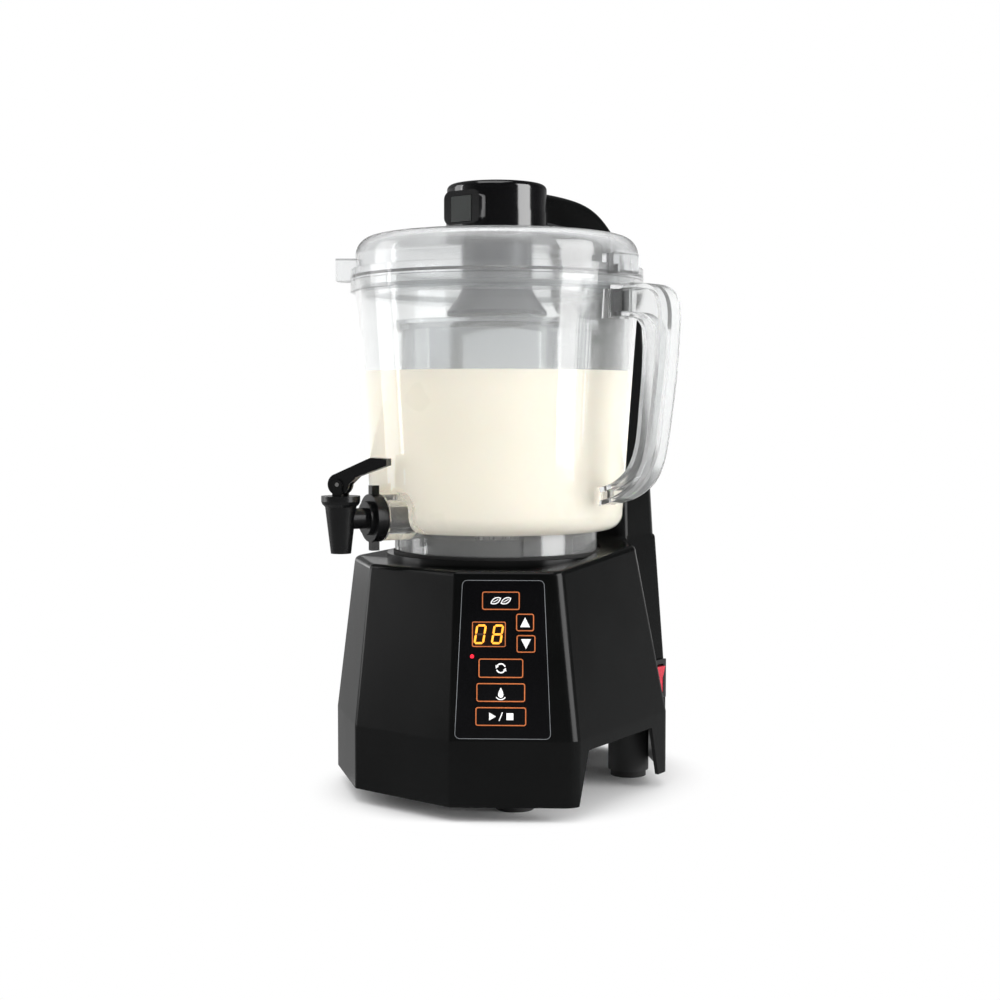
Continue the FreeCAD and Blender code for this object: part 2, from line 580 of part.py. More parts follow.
# ---- Handle --------------------------------------------------------------------------------------
def spline(points, offset):
    """Smooth (x, z) curve, moved sideways to its left by offset."""
    curve = Part.BSplineCurve()
    curve.interpolate([V(x, 0, z) for x, z in points])
    if offset == 0.0:
        return curve
    moved = []
    first, last = curve.FirstParameter, curve.LastParameter
    for i in range(25):
        u = first + (last - first) * i / 24.0
        d = curve.tangent(u)[0]
        p = curve.value(u)
        moved.append(p + V(-d.z, 0, d.x) * offset)
    result = Part.BSplineCurve()
    result.interpolate(moved)
    return result


def strip(curve_a, curve_b, half):
    """Region between two curves, drawn out to both sides of the XZ plane."""
    a0, a1 = curve_a.StartPoint, curve_a.EndPoint
    b0, b1 = curve_b.StartPoint, curve_b.EndPoint
    wire = Part.Wire([
        curve_a.toShape(), Part.LineSegment(a1, b1).toShape(),
        curve_b.toShape(), Part.LineSegment(b0, a0).toShape(),
    ])
    solid = Part.Face(wire).extrude(V(0, 2.0 * half, 0))
    solid.translate(V(0, -half, 0))
    return solid


X_TOP = UPPER_BLOCK[0]
X_LOW = LOWER_BLOCK[0]
outer_line = [
    (X_TOP, RIM_Z - 7.5), (128.0, RIM_Z - 7.0), (142.0, RIM_Z - 7.6), (152.0, RIM_Z - 12.5),
    (156.8, RIM_Z - 23.0),
    (157.0, RIM_Z - 42.0), (155.0, RIM_Z - 69.0), (151.0, RIM_Z - 99.0), (146.0, RIM_Z - 128.0),
    (138.0, RIM_Z - 147.0), (124.0, RIM_Z - 158.5), (X_LOW, RIM_Z - 165.0),
]
inner_line = [
    (X_TOP, RIM_Z - 30.0), (124.0, RIM_Z - 30.0), (135.0, RIM_Z - 32.0), (141.0, RIM_Z - 39.0),
    (142.0, RIM_Z - 50.0),
    (141.0, RIM_Z - 72.0), (138.5, RIM_Z - 99.0), (135.0, RIM_Z - 124.0), (128.0, RIM_Z - 139.0),
    (117.0, RIM_Z - 148.0), (X_LOW, RIM_Z - 152.5),
]
GRIP_HALF = 12.5
outer_curve = spline(outer_line, 0.0)
inner_curve = spline(inner_line, 0.0)
outer_band = strip(outer_curve, spline(outer_line, -3.2), GRIP_HALF)
inner_band = strip(inner_curve, spline(inner_line, 3.2), GRIP_HALF)
web = strip(outer_curve, inner_curve, 2.6)
handle = outer_band.multiFuse([inner_band, web])
handle = handle.fuse(box(X_TOP, X_TOP + 3.0, -GRIP_HALF, GRIP_HALF, RIM_Z - 30.0, RIM_Z - 8.0))
handle = handle.common(box(X_LOW, 200.0, -20.0, 20.0, BOWL_Z, RIM_Z)).removeSplitter()
save(handle, "bowl_handle")

# ---- Lid -----------------------------------------------------------------------------------------
LID_R = RIM_R - 0.5
lid = turned([
    (23.0, LID_TOP_Z), (60.0, LID_TOP_Z), (LID_R - 14.0, LID_TOP_Z - 0.8),
    (LID_R - 3.7, LID_TOP_Z - 5.2, LID_R, LID_TOP_Z - 16.0),
    (LID_R, RIM_Z + 8.5), (FLANGE_R, RIM_Z + 8.5), (FLANGE_R, RIM_Z),
    (LID_R - 4.6, RIM_Z), (LID_R - 4.6, RIM_Z - 12.0),
    (LID_R - 7.4, RIM_Z - 12.0), (LID_R - 7.4, RIM_Z + 2.0),
    (LID_R - 3.3, RIM_Z + 4.0), (LID_R - 3.3, LID_TOP_Z - 17.0),
    (LID_R - 6.4, LID_TOP_Z - 7.6, LID_R - 15.0, LID_TOP_Z - 4.3),
    (60.0, LID_TOP_Z - 3.5), (23.0, LID_TOP_Z - 3.5),
])
lid = lid.fuse(box(LID_R - 2.0, FLANGE_R + 10.5, -12.0, 12.0, RIM_Z + 0.5, RIM_Z + 15.0))
tab = box(LID_R - 2.0, FLANGE_R + 10.5, -12.0, 12.0, RIM_Z + 0.5, RIM_Z + 17.0)
lid = lid.fuse(spun(tab, -141.0)).removeSplitter()
save(lid, "lid")
gasket = turned([
    (LID_R - 4.6, RIM_Z - 9.5), (LID_R - 4.05, RIM_Z - 7.2), (LID_R - 4.6, RIM_Z - 5.0),
])
save(gasket, "lid_gasket")
bushing = turned([
    (18.05, LID_TOP_Z - 7.0), (26.0, LID_TOP_Z - 7.0), (26.0, LID_TOP_Z - 3.5), (23.0, LID_TOP_Z - 3.5),
    (23.0, LID_TOP_Z - 2.2), (18.05, LID_TOP_Z - 2.2),
])
save(bushing, "lid_bushing")

# ---- Wiper ---------------------------------------------------------------------------------------
HUB_TOP = LID_TOP_Z - 0.6
hub = turned([
    (0.0, HUB_TOP - 12.0), (12.0, HUB_TOP - 12.0), (12.0, HUB_TOP), (20.5, HUB_TOP), (20.5, LID_TOP_Z - 2.2),
    (18.0, LID_TOP_Z - 2.2), (18.0, LID_TOP_Z - 7.4), (HUB_R, LID_TOP_Z - 7.4), (HUB_R, RIM_Z - 6.0),
    (HUB_R + 4.0, RIM_Z - 13.0), (HUB_R + 11.0, RIM_Z - 22.0), (HUB_R + 11.0, RIM_Z - 25.0),
    (0.0, RIM_Z - 25.0),
])
hub = hub.fuse(cyl(12.0, 0, 0, HUB_TOP - 12.0, HUB_TOP).cut(hexagon(11.0, HUB_TOP - 8.0, HUB_TOP + 1.0)))
save(hub.removeSplitter(), "wiper_hub")
PADDLE_Z = RIM_Z - 25.0
WIPE_R = SIEVE_IN - 4.0
paddles = []
for turn in (162.0, -12.0):
    arm = plate_y([
        (-8.0, PADDLE_Z), (HUB_R + 11.0, PADDLE_Z), (WIPE_R, PADDLE_Z - 7.0),
        (WIPE_R, FLOOR_Z + 24.0), (WIPE_R - 13.0, FLOOR_Z + 24.0),
        (WIPE_R - 13.0, PADDLE_Z - 14.0), (20.0, PADDLE_Z - 10.0), (-8.0, PADDLE_Z - 10.0),
    ], -2.0, 2.0)
    paddles.append(spun(arm, turn))
save(paddles[0].fuse(paddles[1]).removeSplitter(), "wiper_paddles")

# ---- Column --------------------------------------------------------------------------------------
COLUMN_TOP = HINGE_Z - HINGE_R - 0.7
SEAM_Y = 140.0


def column_body(inset):
    x, y = COLUMN_HALF - 5.0 - inset, COLUMN_REAR_Y - 10.9 - inset
    high = mirrored_points([(x, COLUMN_FRONT_Y + inset), (x, y)])
    radii = [max(r - inset, 1.5) for r in COLUMN_RADII]
    ends = [rounded(column_foot(inset), radii, REAR_SHOULDER_Z), rounded(high, radii, COLUMN_TOP)]
    return Part.makeLoft(ends, True, True)


column = column_body(0.0)
hollow = column_body(WALL)
hollow = hollow.common(box(-60.0, 60.0, 90.0, 190.0, REAR_SHOULDER_Z - 1.0, COLUMN_TOP - WALL))
column = column.cut(hollow).cut(box(-14.0, 14.0, 90.0, 150.5, COLUMN_TOP - 10.0, COLUMN_TOP + 2.0))
column = column.cut(box(-14.0, 14.0, 100.0, COLUMN_FRONT_Y + 8.0, COLUMN_TOP - 14.0, COLUMN_TOP + 2.0))
front = column.common(box(-60.0, 60.0, 90.0, SEAM_Y, REAR_SHOULDER_Z - 1.0, COLUMN_TOP + 1.0))
rear = column.common(box(-60.0, 60.0, SEAM_Y, 190.0, REAR_SHOULDER_Z - 1.0, COLUMN_TOP + 1.0))
save(front.removeSplitter(), "column_front_cover")
save(rear.removeSplitter(), "column_rear_cover")

channel = box(-16.0, 16.0, COLUMN_FRONT_Y + 10.0, 148.0, PLATE_Z + 3.0, COLUMN_TOP - 20.0)
channel = channel.cut(box(-13.0, 13.0, COLUMN_FRONT_Y + 7.0, 145.0, PLATE_Z + 2.0, COLUMN_TOP - 30.0))
tongue = box(-12.9, 12.9, COLUMN_FRONT_Y + 10.0, 148.0, COLUMN_TOP - 30.0, HINGE_Z - 8.0)
tongue = tongue.fuse(rod_x(HINGE_R - 0.6, -12.9, 12.9, HINGE_Y, HINGE_Z))
tongue = tongue.cut(rod_x(PIN_R, -20.0, 20.0, HINGE_Y, HINGE_Z))
save(channel.fuse(tongue).removeSplitter(), "column_frame")
save(rod_x(PIN_R, -30.5, 30.5, HINGE_Y, HINGE_Z), "hinge_pin")

# ---- Arm -----------------------------------------------------------------------------------------
HEEL_COS, HEEL_SIN = math.cos(math.radians(42.0)), math.sin(math.radians(42.0))
ARM_SIDE = [
    (26.0, HEAD_TOP_Z - 4.5), (48.0, HEAD_TOP_Z - 4.7), (66.0, HEAD_TOP_Z - 5.8), (82.0, HEAD_TOP_Z - 8.4),
    (94.0, HEAD_TOP_Z - 12.6), (105.0, HEAD_TOP_Z - 19.4), (113.5, HEAD_TOP_Z - 27.0),
    (121.0, HEAD_TOP_Z - 35.2), (135.0, HEAD_TOP_Z - 49.8),
    (HINGE_Y + HINGE_R * HEEL_COS, HINGE_Z + HINGE_R * HEEL_SIN),
    (HINGE_Y, HINGE_Z), (HINGE_Y - HINGE_R, HINGE_Z), (112.5, HINGE_Z + 14.0), (110.0, HINGE_Z + 24.0),
    (102.0, LID_TOP_Z + 0.5), (94.0, LID_TOP_Z + 3.0), (26.0, LID_TOP_Z + 3.0),
]
ARM_PLAN = [
    (ARM_HALF, 20.0), (ARM_HALF + 1.0, 95.0), (ARM_HALF + 4.0, 118.0),
    (ARM_HALF + 6.5, 135.0), (ARM_HALF + 6.5, 160.0),
]


def smooth_face(ends, place, depth):
    """Solid with a face bounded by a smooth curve through the first points and lines through the rest."""
    curve_points, line_points = ends
    curve = Part.BSplineCurve()
    curve.interpolate([place(p) for p in curve_points])
    edges = [curve.toShape()]
    here = place(curve_points[-1])
    for p in line_points + curve_points[:1]:
        edges.append(Part.LineSegment(here, place(p)).toShape())
        here = place(p)
    return Part.Face(Part.Wire(edges)).extrude(depth)


def moved_in(points, inset):
    """Open run of points moved to its right side by inset."""
    result = []
    for i in range(len(points)):
        a = points[max(i - 1, 0)]
        b = points[min(i + 1, len(points) - 1)]
        step = inset / math.hypot(b[0] - a[0], b[1] - a[1])
        result.append((points[i][0] + (b[1] - a[1]) * step, points[i][1] - (b[0] - a[0]) * step))
    return result


OUTER_COUNT = 10


def arm_body(inset):
    outer_run = moved_in(ARM_SIDE[:OUTER_COUNT], inset)
    inner_run = moved_in(ARM_SIDE[OUTER_COUNT:], inset)
    reach = 2.0 * ARM_HALF
    side = smooth_face((outer_run, inner_run), lambda p: V(-reach, p[0], p[1]), V(2.0 * reach, 0, 0))
    edge_run = [(x - inset, y) for x, y in ARM_PLAN]
    left_run = [(-x, y) for x, y in edge_run]
    middle = [(0.0, edge_run[-1][1]), (0.0, edge_run[0][1])]
    bottom_z = HINGE_Z - 2.0 * HINGE_R
    rise = V(0, 0, HEAD_TOP_Z + 20.0 - bottom_z)
    right = smooth_face((edge_run, middle), lambda p: V(p[0], p[1], bottom_z), rise)
    left = smooth_face((left_run, middle), lambda p: V(p[0], p[1], bottom_z), rise)
    return side.common(right.fuse(left).removeSplitter())


arm = arm_body(0.0)


def above_the_hinge(edge):
    m = edge.valueAt((edge.FirstParameter + edge.LastParameter) / 2.0)
    return m.z > LID_TOP_Z + 6.0 and abs(m.x) > 0.5 * ARM_HALF and m.y > HEAD_R


ridge = sorted(filter(above_the_hinge, arm.Edges), key=lambda edge: -edge.Length)[:2]
arm = arm.makeFillet(6.0, ridge)
cheeks = rod_x(HINGE_R, -(ARM_HALF + 6.5), ARM_HALF + 6.5, HINGE_Y, HINGE_Z)
arm = arm.fuse(cheeks)
space = arm_body(2.6)
space = space.cut(rod_x(HINGE_R + 0.5, -60.0, 60.0, HINGE_Y, HINGE_Z))
head_hole = cyl(HEAD_R, 0, 0, HEAD_Z - 20.0, HEAD_TOP_Z + 5.0)
arm = arm.cut(space).cut(head_hole)
knuckle = rod_x(HINGE_R + 0.6, -13.4, 13.4, HINGE_Y, HINGE_Z)
arm = arm.cut(knuckle).cut(box(-13.4, 13.4, 100.0, 152.0, HINGE_Z - 30.0, HINGE_Z))
arm = arm.cut(rod_x(PIN_R + RUN, -31.0, 31.0, HINGE_Y, HINGE_Z))
belly = plate_x([
    (20.0, HEAD_TOP_Z - 26.3), (60.0, HEAD_TOP_Z - 28.6), (69.0, HEAD_TOP_Z - 33.0),
    (74.0, LID_TOP_Z + 2.0), (20.0, LID_TOP_Z + 2.0),
], -60.0, 60.0)
arm_lower = arm.common(belly)
arm_upper = arm.cut(belly)
save(arm_upper.removeSplitter(), "arm_upper_cover")
save(arm_lower.removeSplitter(), "arm_lower_cover")
strip_y, strip_z = HINGE_Y - 8.2, HINGE_Z + HINGE_R - 0.9
strip_solid = plate_x([
    (HEAD_R + 0.3, HEAD_TOP_Z - 12.0), (80.0, HEAD_TOP_Z - 15.0), (100.0, HEAD_TOP_Z - 22.5),
    (118.0, HEAD_TOP_Z - 41.0), (strip_y + 2.0, strip_z + 1.0), (strip_y - 2.0, strip_z - 1.0),
    (115.0, HEAD_TOP_Z - 44.0), (97.0, HEAD_TOP_Z - 26.5), (78.0, HEAD_TOP_Z - 19.0),
    (HEAD_R + 0.3, HEAD_TOP_Z - 16.0),
], -(ARM_HALF - 5.0), ARM_HALF - 5.0)
save(strip_solid, "arm_frame")

# ---- Head ----------------------------------------------------------------------------------------
PART_Z = HEAD_TOP_Z - 21.6
BEZEL_Z0, BEZEL_Z1 = HEAD_Z + 5.6, HEAD_TOP_Z - 7.6
BUTTON_HALF = 9.6
BUTTON_Z0, BUTTON_Z1 = HEAD_Z + 7.4, HEAD_TOP_Z - 11.8
head_low = turned([
    (11.0, HEAD_Z), (HEAD_R - 2.0, HEAD_Z), (HEAD_R - 0.6, HEAD_Z + 0.6, HEAD_R, HEAD_Z + 2.0),
    (HEAD_R, PART_Z),
    (HEAD_R - 2.5, PART_Z), (HEAD_R - 2.5, HEAD_Z + 2.5), (11.0, HEAD_Z + 2.5),
])
cap_r = HEAD_R - 0.7
head_cap = turned([
    (cap_r, PART_Z), (cap_r, HEAD_TOP_Z - 4.0), (cap_r - 1.2, HEAD_TOP_Z - 1.2, cap_r - 4.0, HEAD_TOP_Z),
    (0.0, HEAD_TOP_Z), (0.0, HEAD_TOP_Z - 2.5), (cap_r - 4.5, HEAD_TOP_Z - 2.5),
    (cap_r - 2.5, HEAD_TOP_Z - 4.5), (cap_r - 2.5, PART_Z),
])
button_way = box(-BUTTON_HALF - 0.3, BUTTON_HALF + 0.3, -60.0, -20.0, BUTTON_Z0 - 0.3, BUTTON_Z1 + 0.3)
save(head_low.cut(button_way), "head_body")
save(head_cap.cut(button_way), "head_cap")
bezel = box(-17.0, 17.0, -HEAD_R - 3.2, -20.0, BEZEL_Z0, BEZEL_Z1)
corner_edges = [e for e in bezel.Edges if abs(e.Vertexes[0].Y - e.Vertexes[-1].Y) > 5.0]
bezel = bezel.makeFillet(6.0, corner_edges)
bezel = bezel.cut(cyl(HEAD_R, 0, 0, HEAD_Z - 5.0, HEAD_TOP_Z + 5.0)).cut(button_way)
save(bezel, "button_bezel")
button = box(-BUTTON_HALF, BUTTON_HALF, -HEAD_R - 3.6, -28.5, BUTTON_Z0, BUTTON_Z1)
save(button, "latch_button")
gearmotor = tube(24.0, 3.0 + RUN, HEAD_Z + 2.5, HEAD_Z + 26.0)
save(gearmotor, "wiper_gearmotor")
dog = cyl(3.0, 0, 0, HEAD_Z - 0.5, HEAD_Z + 24.0).fuse(hexagon(9.0, HUB_TOP - 6.0, HEAD_Z - 0.5))
save(dog.removeSplitter(), "wiper_dog")

# ---- Spigot --------------------------------------------------------------------------------------
X0 = BOSS_OUT
body = turned([
    (0.0, SPIGOT_Z - 25.0), (7.4, SPIGOT_Z - 25.0), (11.4, SPIGOT_Z + 9.0), (13.4, SPIGOT_Z + 11.0),
    (14.2, SPIGOT_Z + 13.0), (14.2, SPIGOT_Z + 17.0), (0.0, SPIGOT_Z + 17.0),
])
body.translate(V(SPIGOT_R, 0, 0))
body = body.multiFuse([
    rod_x(7.6, BOSS_IN, SPIGOT_R, 0.0, SPIGOT_Z),
    rod_x(12.5, X0 + 10.0, X0 + 13.5, 0.0, SPIGOT_Z),
])
LEVER_TURN = -44.0
PIVOT_Z = SPIGOT_Z + 25.5
ears = []
for y in (-7.9, 5.9):
    ear = box(SPIGOT_R - 3.6, SPIGOT_R + 3.6, y, y + 2.0, SPIGOT_Z + 16.0, PIVOT_Z)
    ear = ear.fuse(Part.makeCylinder(3.6, 2.0, V(SPIGOT_R, y, PIVOT_Z), Y_AXIS))
    ears.append(spun(ear, 180.0 + LEVER_TURN, SPIGOT_R, 0.0))
body = body.multiFuse(ears)
chamber = cyl(6.4, SPIGOT_R, 0.0, SPIGOT_Z - 19.0, SPIGOT_Z + 12.0)
chamber = chamber.fuse(cyl(4.6, SPIGOT_R, 0.0, SPIGOT_Z - 26.0, SPIGOT_Z - 18.0))
body = body.cut(chamber).cut(rod_x(4.6, BOSS_IN - 1.0, SPIGOT_R, 0.0, SPIGOT_Z))
body = body.cut(cyl(2.5 + RUN, SPIGOT_R, 0.0, SPIGOT_Z + 10.0, SPIGOT_Z + 20.0))
PIN_S = 1.5
pin_way = Part.makeCylinder(PIN_S, 30.0, V(SPIGOT_R, -15.0, PIVOT_Z), Y_AXIS)
pin_way = spun(pin_way, 180.0 + LEVER_TURN, SPIGOT_R, 0.0)
body = body.cut(pin_way).removeSplitter()
save(at_spigot(body), "spigot_body")
nut = rod_x(17.6, X0 + 2.0, X0 + 10.0, 0.0, SPIGOT_Z)
wing = box(X0 + 3.0, X0 + 9.0, -3.0, 3.0, SPIGOT_Z + 15.0, SPIGOT_Z + 24.0)
wing2 = wing.copy()
wing2.rotate(V(0, 0, SPIGOT_Z), X_AXIS, 180.0)
nut = nut.multiFuse([wing, wing2]).cut(rod_x(7.6, X0, X0 + 20.0, 0.0, SPIGOT_Z)).removeSplitter()
save(at_spigot(nut), "spigot_nut")
washer = rod_x(15.0, X0, X0 + 2.0, 0.0, SPIGOT_Z).cut(rod_x(7.6, X0 - 1.0, X0 + 3.0, 0.0, SPIGOT_Z))
save(at_spigot(washer), "spigot_gasket")

STEM_R = 2.5
stem = cyl(STEM_R, SPIGOT_R, 0.0, SPIGOT_Z - 14.0, PIVOT_Z + PIN_S + 2.0)
slot = box(SPIGOT_R - PIN_S - RUN, SPIGOT_R + PIN_S + RUN, -5.0, 5.0, PIVOT_Z - 7.0, PIVOT_Z)
slot = slot.fuse(Part.makeCylinder(PIN_S + RUN, 10.0, V(SPIGOT_R, -5.0, PIVOT_Z), Y_AXIS))
slot = slot.fuse(Part.makeCylinder(PIN_S + RUN, 10.0, V(SPIGOT_R, -5.0, PIVOT_Z - 7.0), Y_AXIS))
stem = stem.cut(spun(slot, 180.0 + LEVER_TURN, SPIGOT_R, 0.0))
seat = cyl(6.0, SPIGOT_R, 0.0, SPIGOT_Z - 19.0, SPIGOT_Z - 13.0)
seat = seat.cut(cyl(STEM_R, SPIGOT_R, 0.0, SPIGOT_Z - 14.0, SPIGOT_Z - 10.0))
save(at_spigot(Part.makeCompound([stem, seat])), "spigot_stem")
LEVER_R = 8.0
lever = Part.makeCylinder(LEVER_R, 11.0, V(SPIGOT_R, -5.5, PIVOT_Z), Y_AXIS)
grip = plate_y([
    (SPIGOT_R - 4.0, PIVOT_Z + 6.9), (SPIGOT_R + 24.5, PIVOT_Z + 19.5), (SPIGOT_R + 37.0, PIVOT_Z + 18.8),
    (SPIGOT_R + 37.0, PIVOT_Z + 13.8), (SPIGOT_R + 14.0, PIVOT_Z + 5.6), (SPIGOT_R + 5.0, PIVOT_Z - 3.0),
], -5.5, 5.5)
lever = lever.fuse(grip)
fork = box(SPIGOT_R - 10.0, SPIGOT_R + 10.0, -STEM_R - 0.4, STEM_R + 0.4, PIVOT_Z - 12.0, PIVOT_Z + 20.0)
lever = lever.cut(fork)
lever = lever.cut(Part.makeCylinder(PIN_S + RUN, 20.0, V(SPIGOT_R, -10.0, PIVOT_Z), Y_AXIS))
lever = spun(lever.removeSplitter(), 180.0 + LEVER_TURN, SPIGOT_R, 0.0)
save(at_spigot(lever), "spigot_lever")
lever_pin = Part.makeCylinder(PIN_S, 15.8, V(SPIGOT_R, -7.9, PIVOT_Z), Y_AXIS)
save(at_spigot(spun(lever_pin, 180.0 + LEVER_TURN, SPIGOT_R, 0.0)), "lever_pin")
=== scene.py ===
import json
import math

import bmesh
import bpy
import numpy as np
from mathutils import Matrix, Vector

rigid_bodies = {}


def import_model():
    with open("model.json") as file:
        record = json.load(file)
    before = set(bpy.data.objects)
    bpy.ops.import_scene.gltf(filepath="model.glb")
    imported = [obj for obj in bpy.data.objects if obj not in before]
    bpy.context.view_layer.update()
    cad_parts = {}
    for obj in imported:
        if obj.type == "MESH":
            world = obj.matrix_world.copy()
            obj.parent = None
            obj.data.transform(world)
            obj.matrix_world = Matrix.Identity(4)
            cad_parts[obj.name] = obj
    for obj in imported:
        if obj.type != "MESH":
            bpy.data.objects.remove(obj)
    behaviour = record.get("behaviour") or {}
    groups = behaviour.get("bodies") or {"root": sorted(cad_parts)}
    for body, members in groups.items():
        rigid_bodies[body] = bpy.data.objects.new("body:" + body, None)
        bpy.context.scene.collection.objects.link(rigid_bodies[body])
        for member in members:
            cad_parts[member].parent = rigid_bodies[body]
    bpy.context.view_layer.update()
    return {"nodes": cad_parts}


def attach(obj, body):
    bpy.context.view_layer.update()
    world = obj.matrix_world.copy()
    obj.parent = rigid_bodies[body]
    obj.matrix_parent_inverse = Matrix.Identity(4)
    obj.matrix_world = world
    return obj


for default in list(bpy.data.objects):
    bpy.data.objects.remove(default)
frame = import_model()
nodes = frame["nodes"]
MM = 0.001


# ---- Base shell ----------------------------------------------------------------------------------
# The base is one deep injection moulding in black ABS with a gloss surface and soft moulded corners.
# It stands over the bottom cover and carries the bowl's boss, the column and the control panel.
def shader(name):
    """A new material: its node tree, its Principled shader and a coordinate node in object space."""
    material = bpy.data.materials.new(name)
    material.use_nodes = True
    tree = material.node_tree
    return material, tree, tree.nodes["Principled BSDF"], tree.nodes.new("ShaderNodeTexCoord")


def cloud(tree, coordinate, scale, detail=3.0):
    """Noise of so many features per metre, read in object space."""
    noise = tree.nodes.new("ShaderNodeTexNoise")
    noise.inputs["Scale"].default_value = scale
    noise.inputs["Detail"].default_value = detail
    tree.links.new(coordinate.outputs["Object"], noise.inputs["Vector"])
    return noise.outputs["Fac"]


def blended(tree, factor, low, high):
    """Colour that goes from low to high with the factor."""
    ramp = tree.nodes.new("ShaderNodeValToRGB")
    ramp.color_ramp.elements[0].position = 0.35
    ramp.color_ramp.elements[1].position = 0.65
    ramp.color_ramp.elements[0].color = (*low, 1.0)
    ramp.color_ramp.elements[1].color = (*high, 1.0)
    tree.links.new(factor, ramp.inputs["Fac"])
    return ramp.outputs["Color"]


def spread(tree, factor, low, high):
    """Number that goes from low to high as the factor goes from 0.3 to 0.7."""
    reach = tree.nodes.new("ShaderNodeMapRange")
    reach.inputs["From Min"].default_value = 0.3
    reach.inputs["From Max"].default_value = 0.7
    reach.inputs["To Min"].default_value = low
    reach.inputs["To Max"].default_value = high
    tree.links.new(factor, reach.inputs["Value"])
    return reach.outputs["Result"]


def dented(tree, bsdf, factor, depth):
    """Surface relief of so many metres that follows the factor."""
    bump = tree.nodes.new("ShaderNodeBump")
    bump.inputs["Strength"].default_value = 1.0
    bump.inputs["Distance"].default_value = depth
    tree.links.new(factor, bump.inputs["Height"])
    tree.links.new(bump.outputs["Normal"], bsdf.inputs["Normal"])


def moulded(name, colour, roughness, grain=0.0, grain_scale=2500.0, specular=0.5):
    """Moulded plastic: its colour and gloss drift slowly, and a fine grain roughens it."""
    material, tree, bsdf, coordinate = shader(name)
    drift = cloud(tree, coordinate, 22.0)
    darker = [0.86 * c for c in colour]
    lighter = [min(1.0, 1.14 * c) for c in colour]
    tree.links.new(blended(tree, drift, darker, lighter), bsdf.inputs["Base Color"])
    tree.links.new(spread(tree, drift, 0.92 * roughness, 1.1 * roughness), bsdf.inputs["Roughness"])
    bsdf.inputs["Specular IOR Level"].default_value = specular
    dented(tree, bsdf, cloud(tree, coordinate, grain_scale, 2.0), 0.000002 + grain)
    return material


def dress(material, *names):
    """The material takes the place of each node's own."""
    for name in names:
        slots = nodes[name].data.materials
        slots.clear()
        slots.append(material)


shell_black = moulded("shell_black", (0.0028, 0.003, 0.003), 0.2, specular=0.2)
dress(shell_black, "base_shell")

# ---- Bottom cover, feet and screws ---------------------------------------------------------------
# A matt black tray closes the base from below, with four posts that end in soft rubber feet.
# Four pan-head steel screws hold it.
cover_dark = moulded("cover_dark", (0.018, 0.018, 0.019), 0.6, grain=0.00002)
rubber_black = moulded("rubber_black", (0.016, 0.016, 0.016), 0.8, grain=0.00001, grain_scale=1200.0)
dress(cover_dark, "base_bottom_cover")
dress(rubber_black, "rubber_feet", "bowl_seat_ring", "shaft_seal", "spigot_gasket")


def brushed(name, colour, roughness, stretch):
    """Metal with fine lines: noise drawn out along one axis drives its gloss and relief."""
    material, tree, bsdf, coordinate = shader(name)
    bsdf.inputs["Metallic"].default_value = 1.0
    mapping = tree.nodes.new("ShaderNodeMapping")
    mapping.inputs["Scale"].default_value = stretch
    tree.links.new(coordinate.outputs["Object"], mapping.inputs["Vector"])
    lines = tree.nodes.new("ShaderNodeTexNoise")
    lines.inputs["Scale"].default_value = 1.0
    tree.links.new(mapping.outputs["Vector"], lines.inputs["Vector"])
    low = [0.85 * c for c in colour]
    tree.links.new(blended(tree, lines.outputs["Fac"], low, colour), bsdf.inputs["Base Color"])
    gloss = spread(tree, lines.outputs["Fac"], 0.8 * roughness, 1.3 * roughness)
    tree.links.new(gloss, bsdf.inputs["Roughness"])
    dented(tree, bsdf, lines.outputs["Fac"], 0.000004)
    return material


steel = brushed("steel", (0.62, 0.62, 0.61), 0.28, (900.0, 900.0, 60.0))
dress(steel, "cover_screws", "hinge_pin", "lever_pin", "bowl_shaft", "blades", "motor_rotor")
dress(steel, "motor_bearings", "motor_hanger", "wiper_dog")

# ---- Control panel: glossy film, its painted edge highlight and the keys -------------------------
# A black gloss film is let into the front facet. Six keys stand through it, each with a printed
# copper-coloured frame and a white symbol; a grey strip round the film paints a highlight on its edge.
# The front facet's turn, then its edges' half widths and distances at the crease and the shoulder
FACET_TURN = math.radians(36.5)
LOW_HALF, LOW_FRONT = 46.0, 109.5
TOP_HALF, TOP_FRONT = 41.0, 97.5
CREASE_Z, SHOULDER_Z = 58.0, 177.0
PANEL_Z = 0.5 * (CREASE_Z + SHOULDER_Z) - 2.5
PANEL_U = 9.0
facet_sin, facet_cos = math.sin(FACET_TURN), math.cos(FACET_TURN)
low_reach = LOW_HALF * facet_sin + LOW_FRONT * facet_cos
top_reach = TOP_HALF * facet_sin + TOP_FRONT * facet_cos
tilt = math.atan2(low_reach - top_reach, SHOULDER_Z - CREASE_Z)
panel_reach = low_reach + (top_reach - low_reach) * (PANEL_Z - CREASE_Z) / (SHOULDER_Z - CREASE_Z)
facet_origin = np.array([panel_reach * facet_sin, -panel_reach * facet_cos, PANEL_Z])
facet_right = np.array([facet_cos, facet_sin, 0.0])
facet_out = np.array([math.cos(tilt) * facet_sin, -math.cos(tilt) * facet_cos, math.sin(tilt)])
facet_up = np.cross(facet_out, facet_right)


def on_facet(flat, height):
    """Points (u, v) on the front facet, lifted off it by height, all millimetres, as metres in the frame."""
    flat = np.asarray(flat, float)
    place = facet_origin + flat[:, :1] * facet_right + flat[:, 1:2] * facet_up + height * facet_out
    return place * MM


def facet_v(z):
    """Way up the sloping facet, from the panel's middle, of a point at a height above the table."""
    return (z - PANEL_Z) / math.cos(tilt)


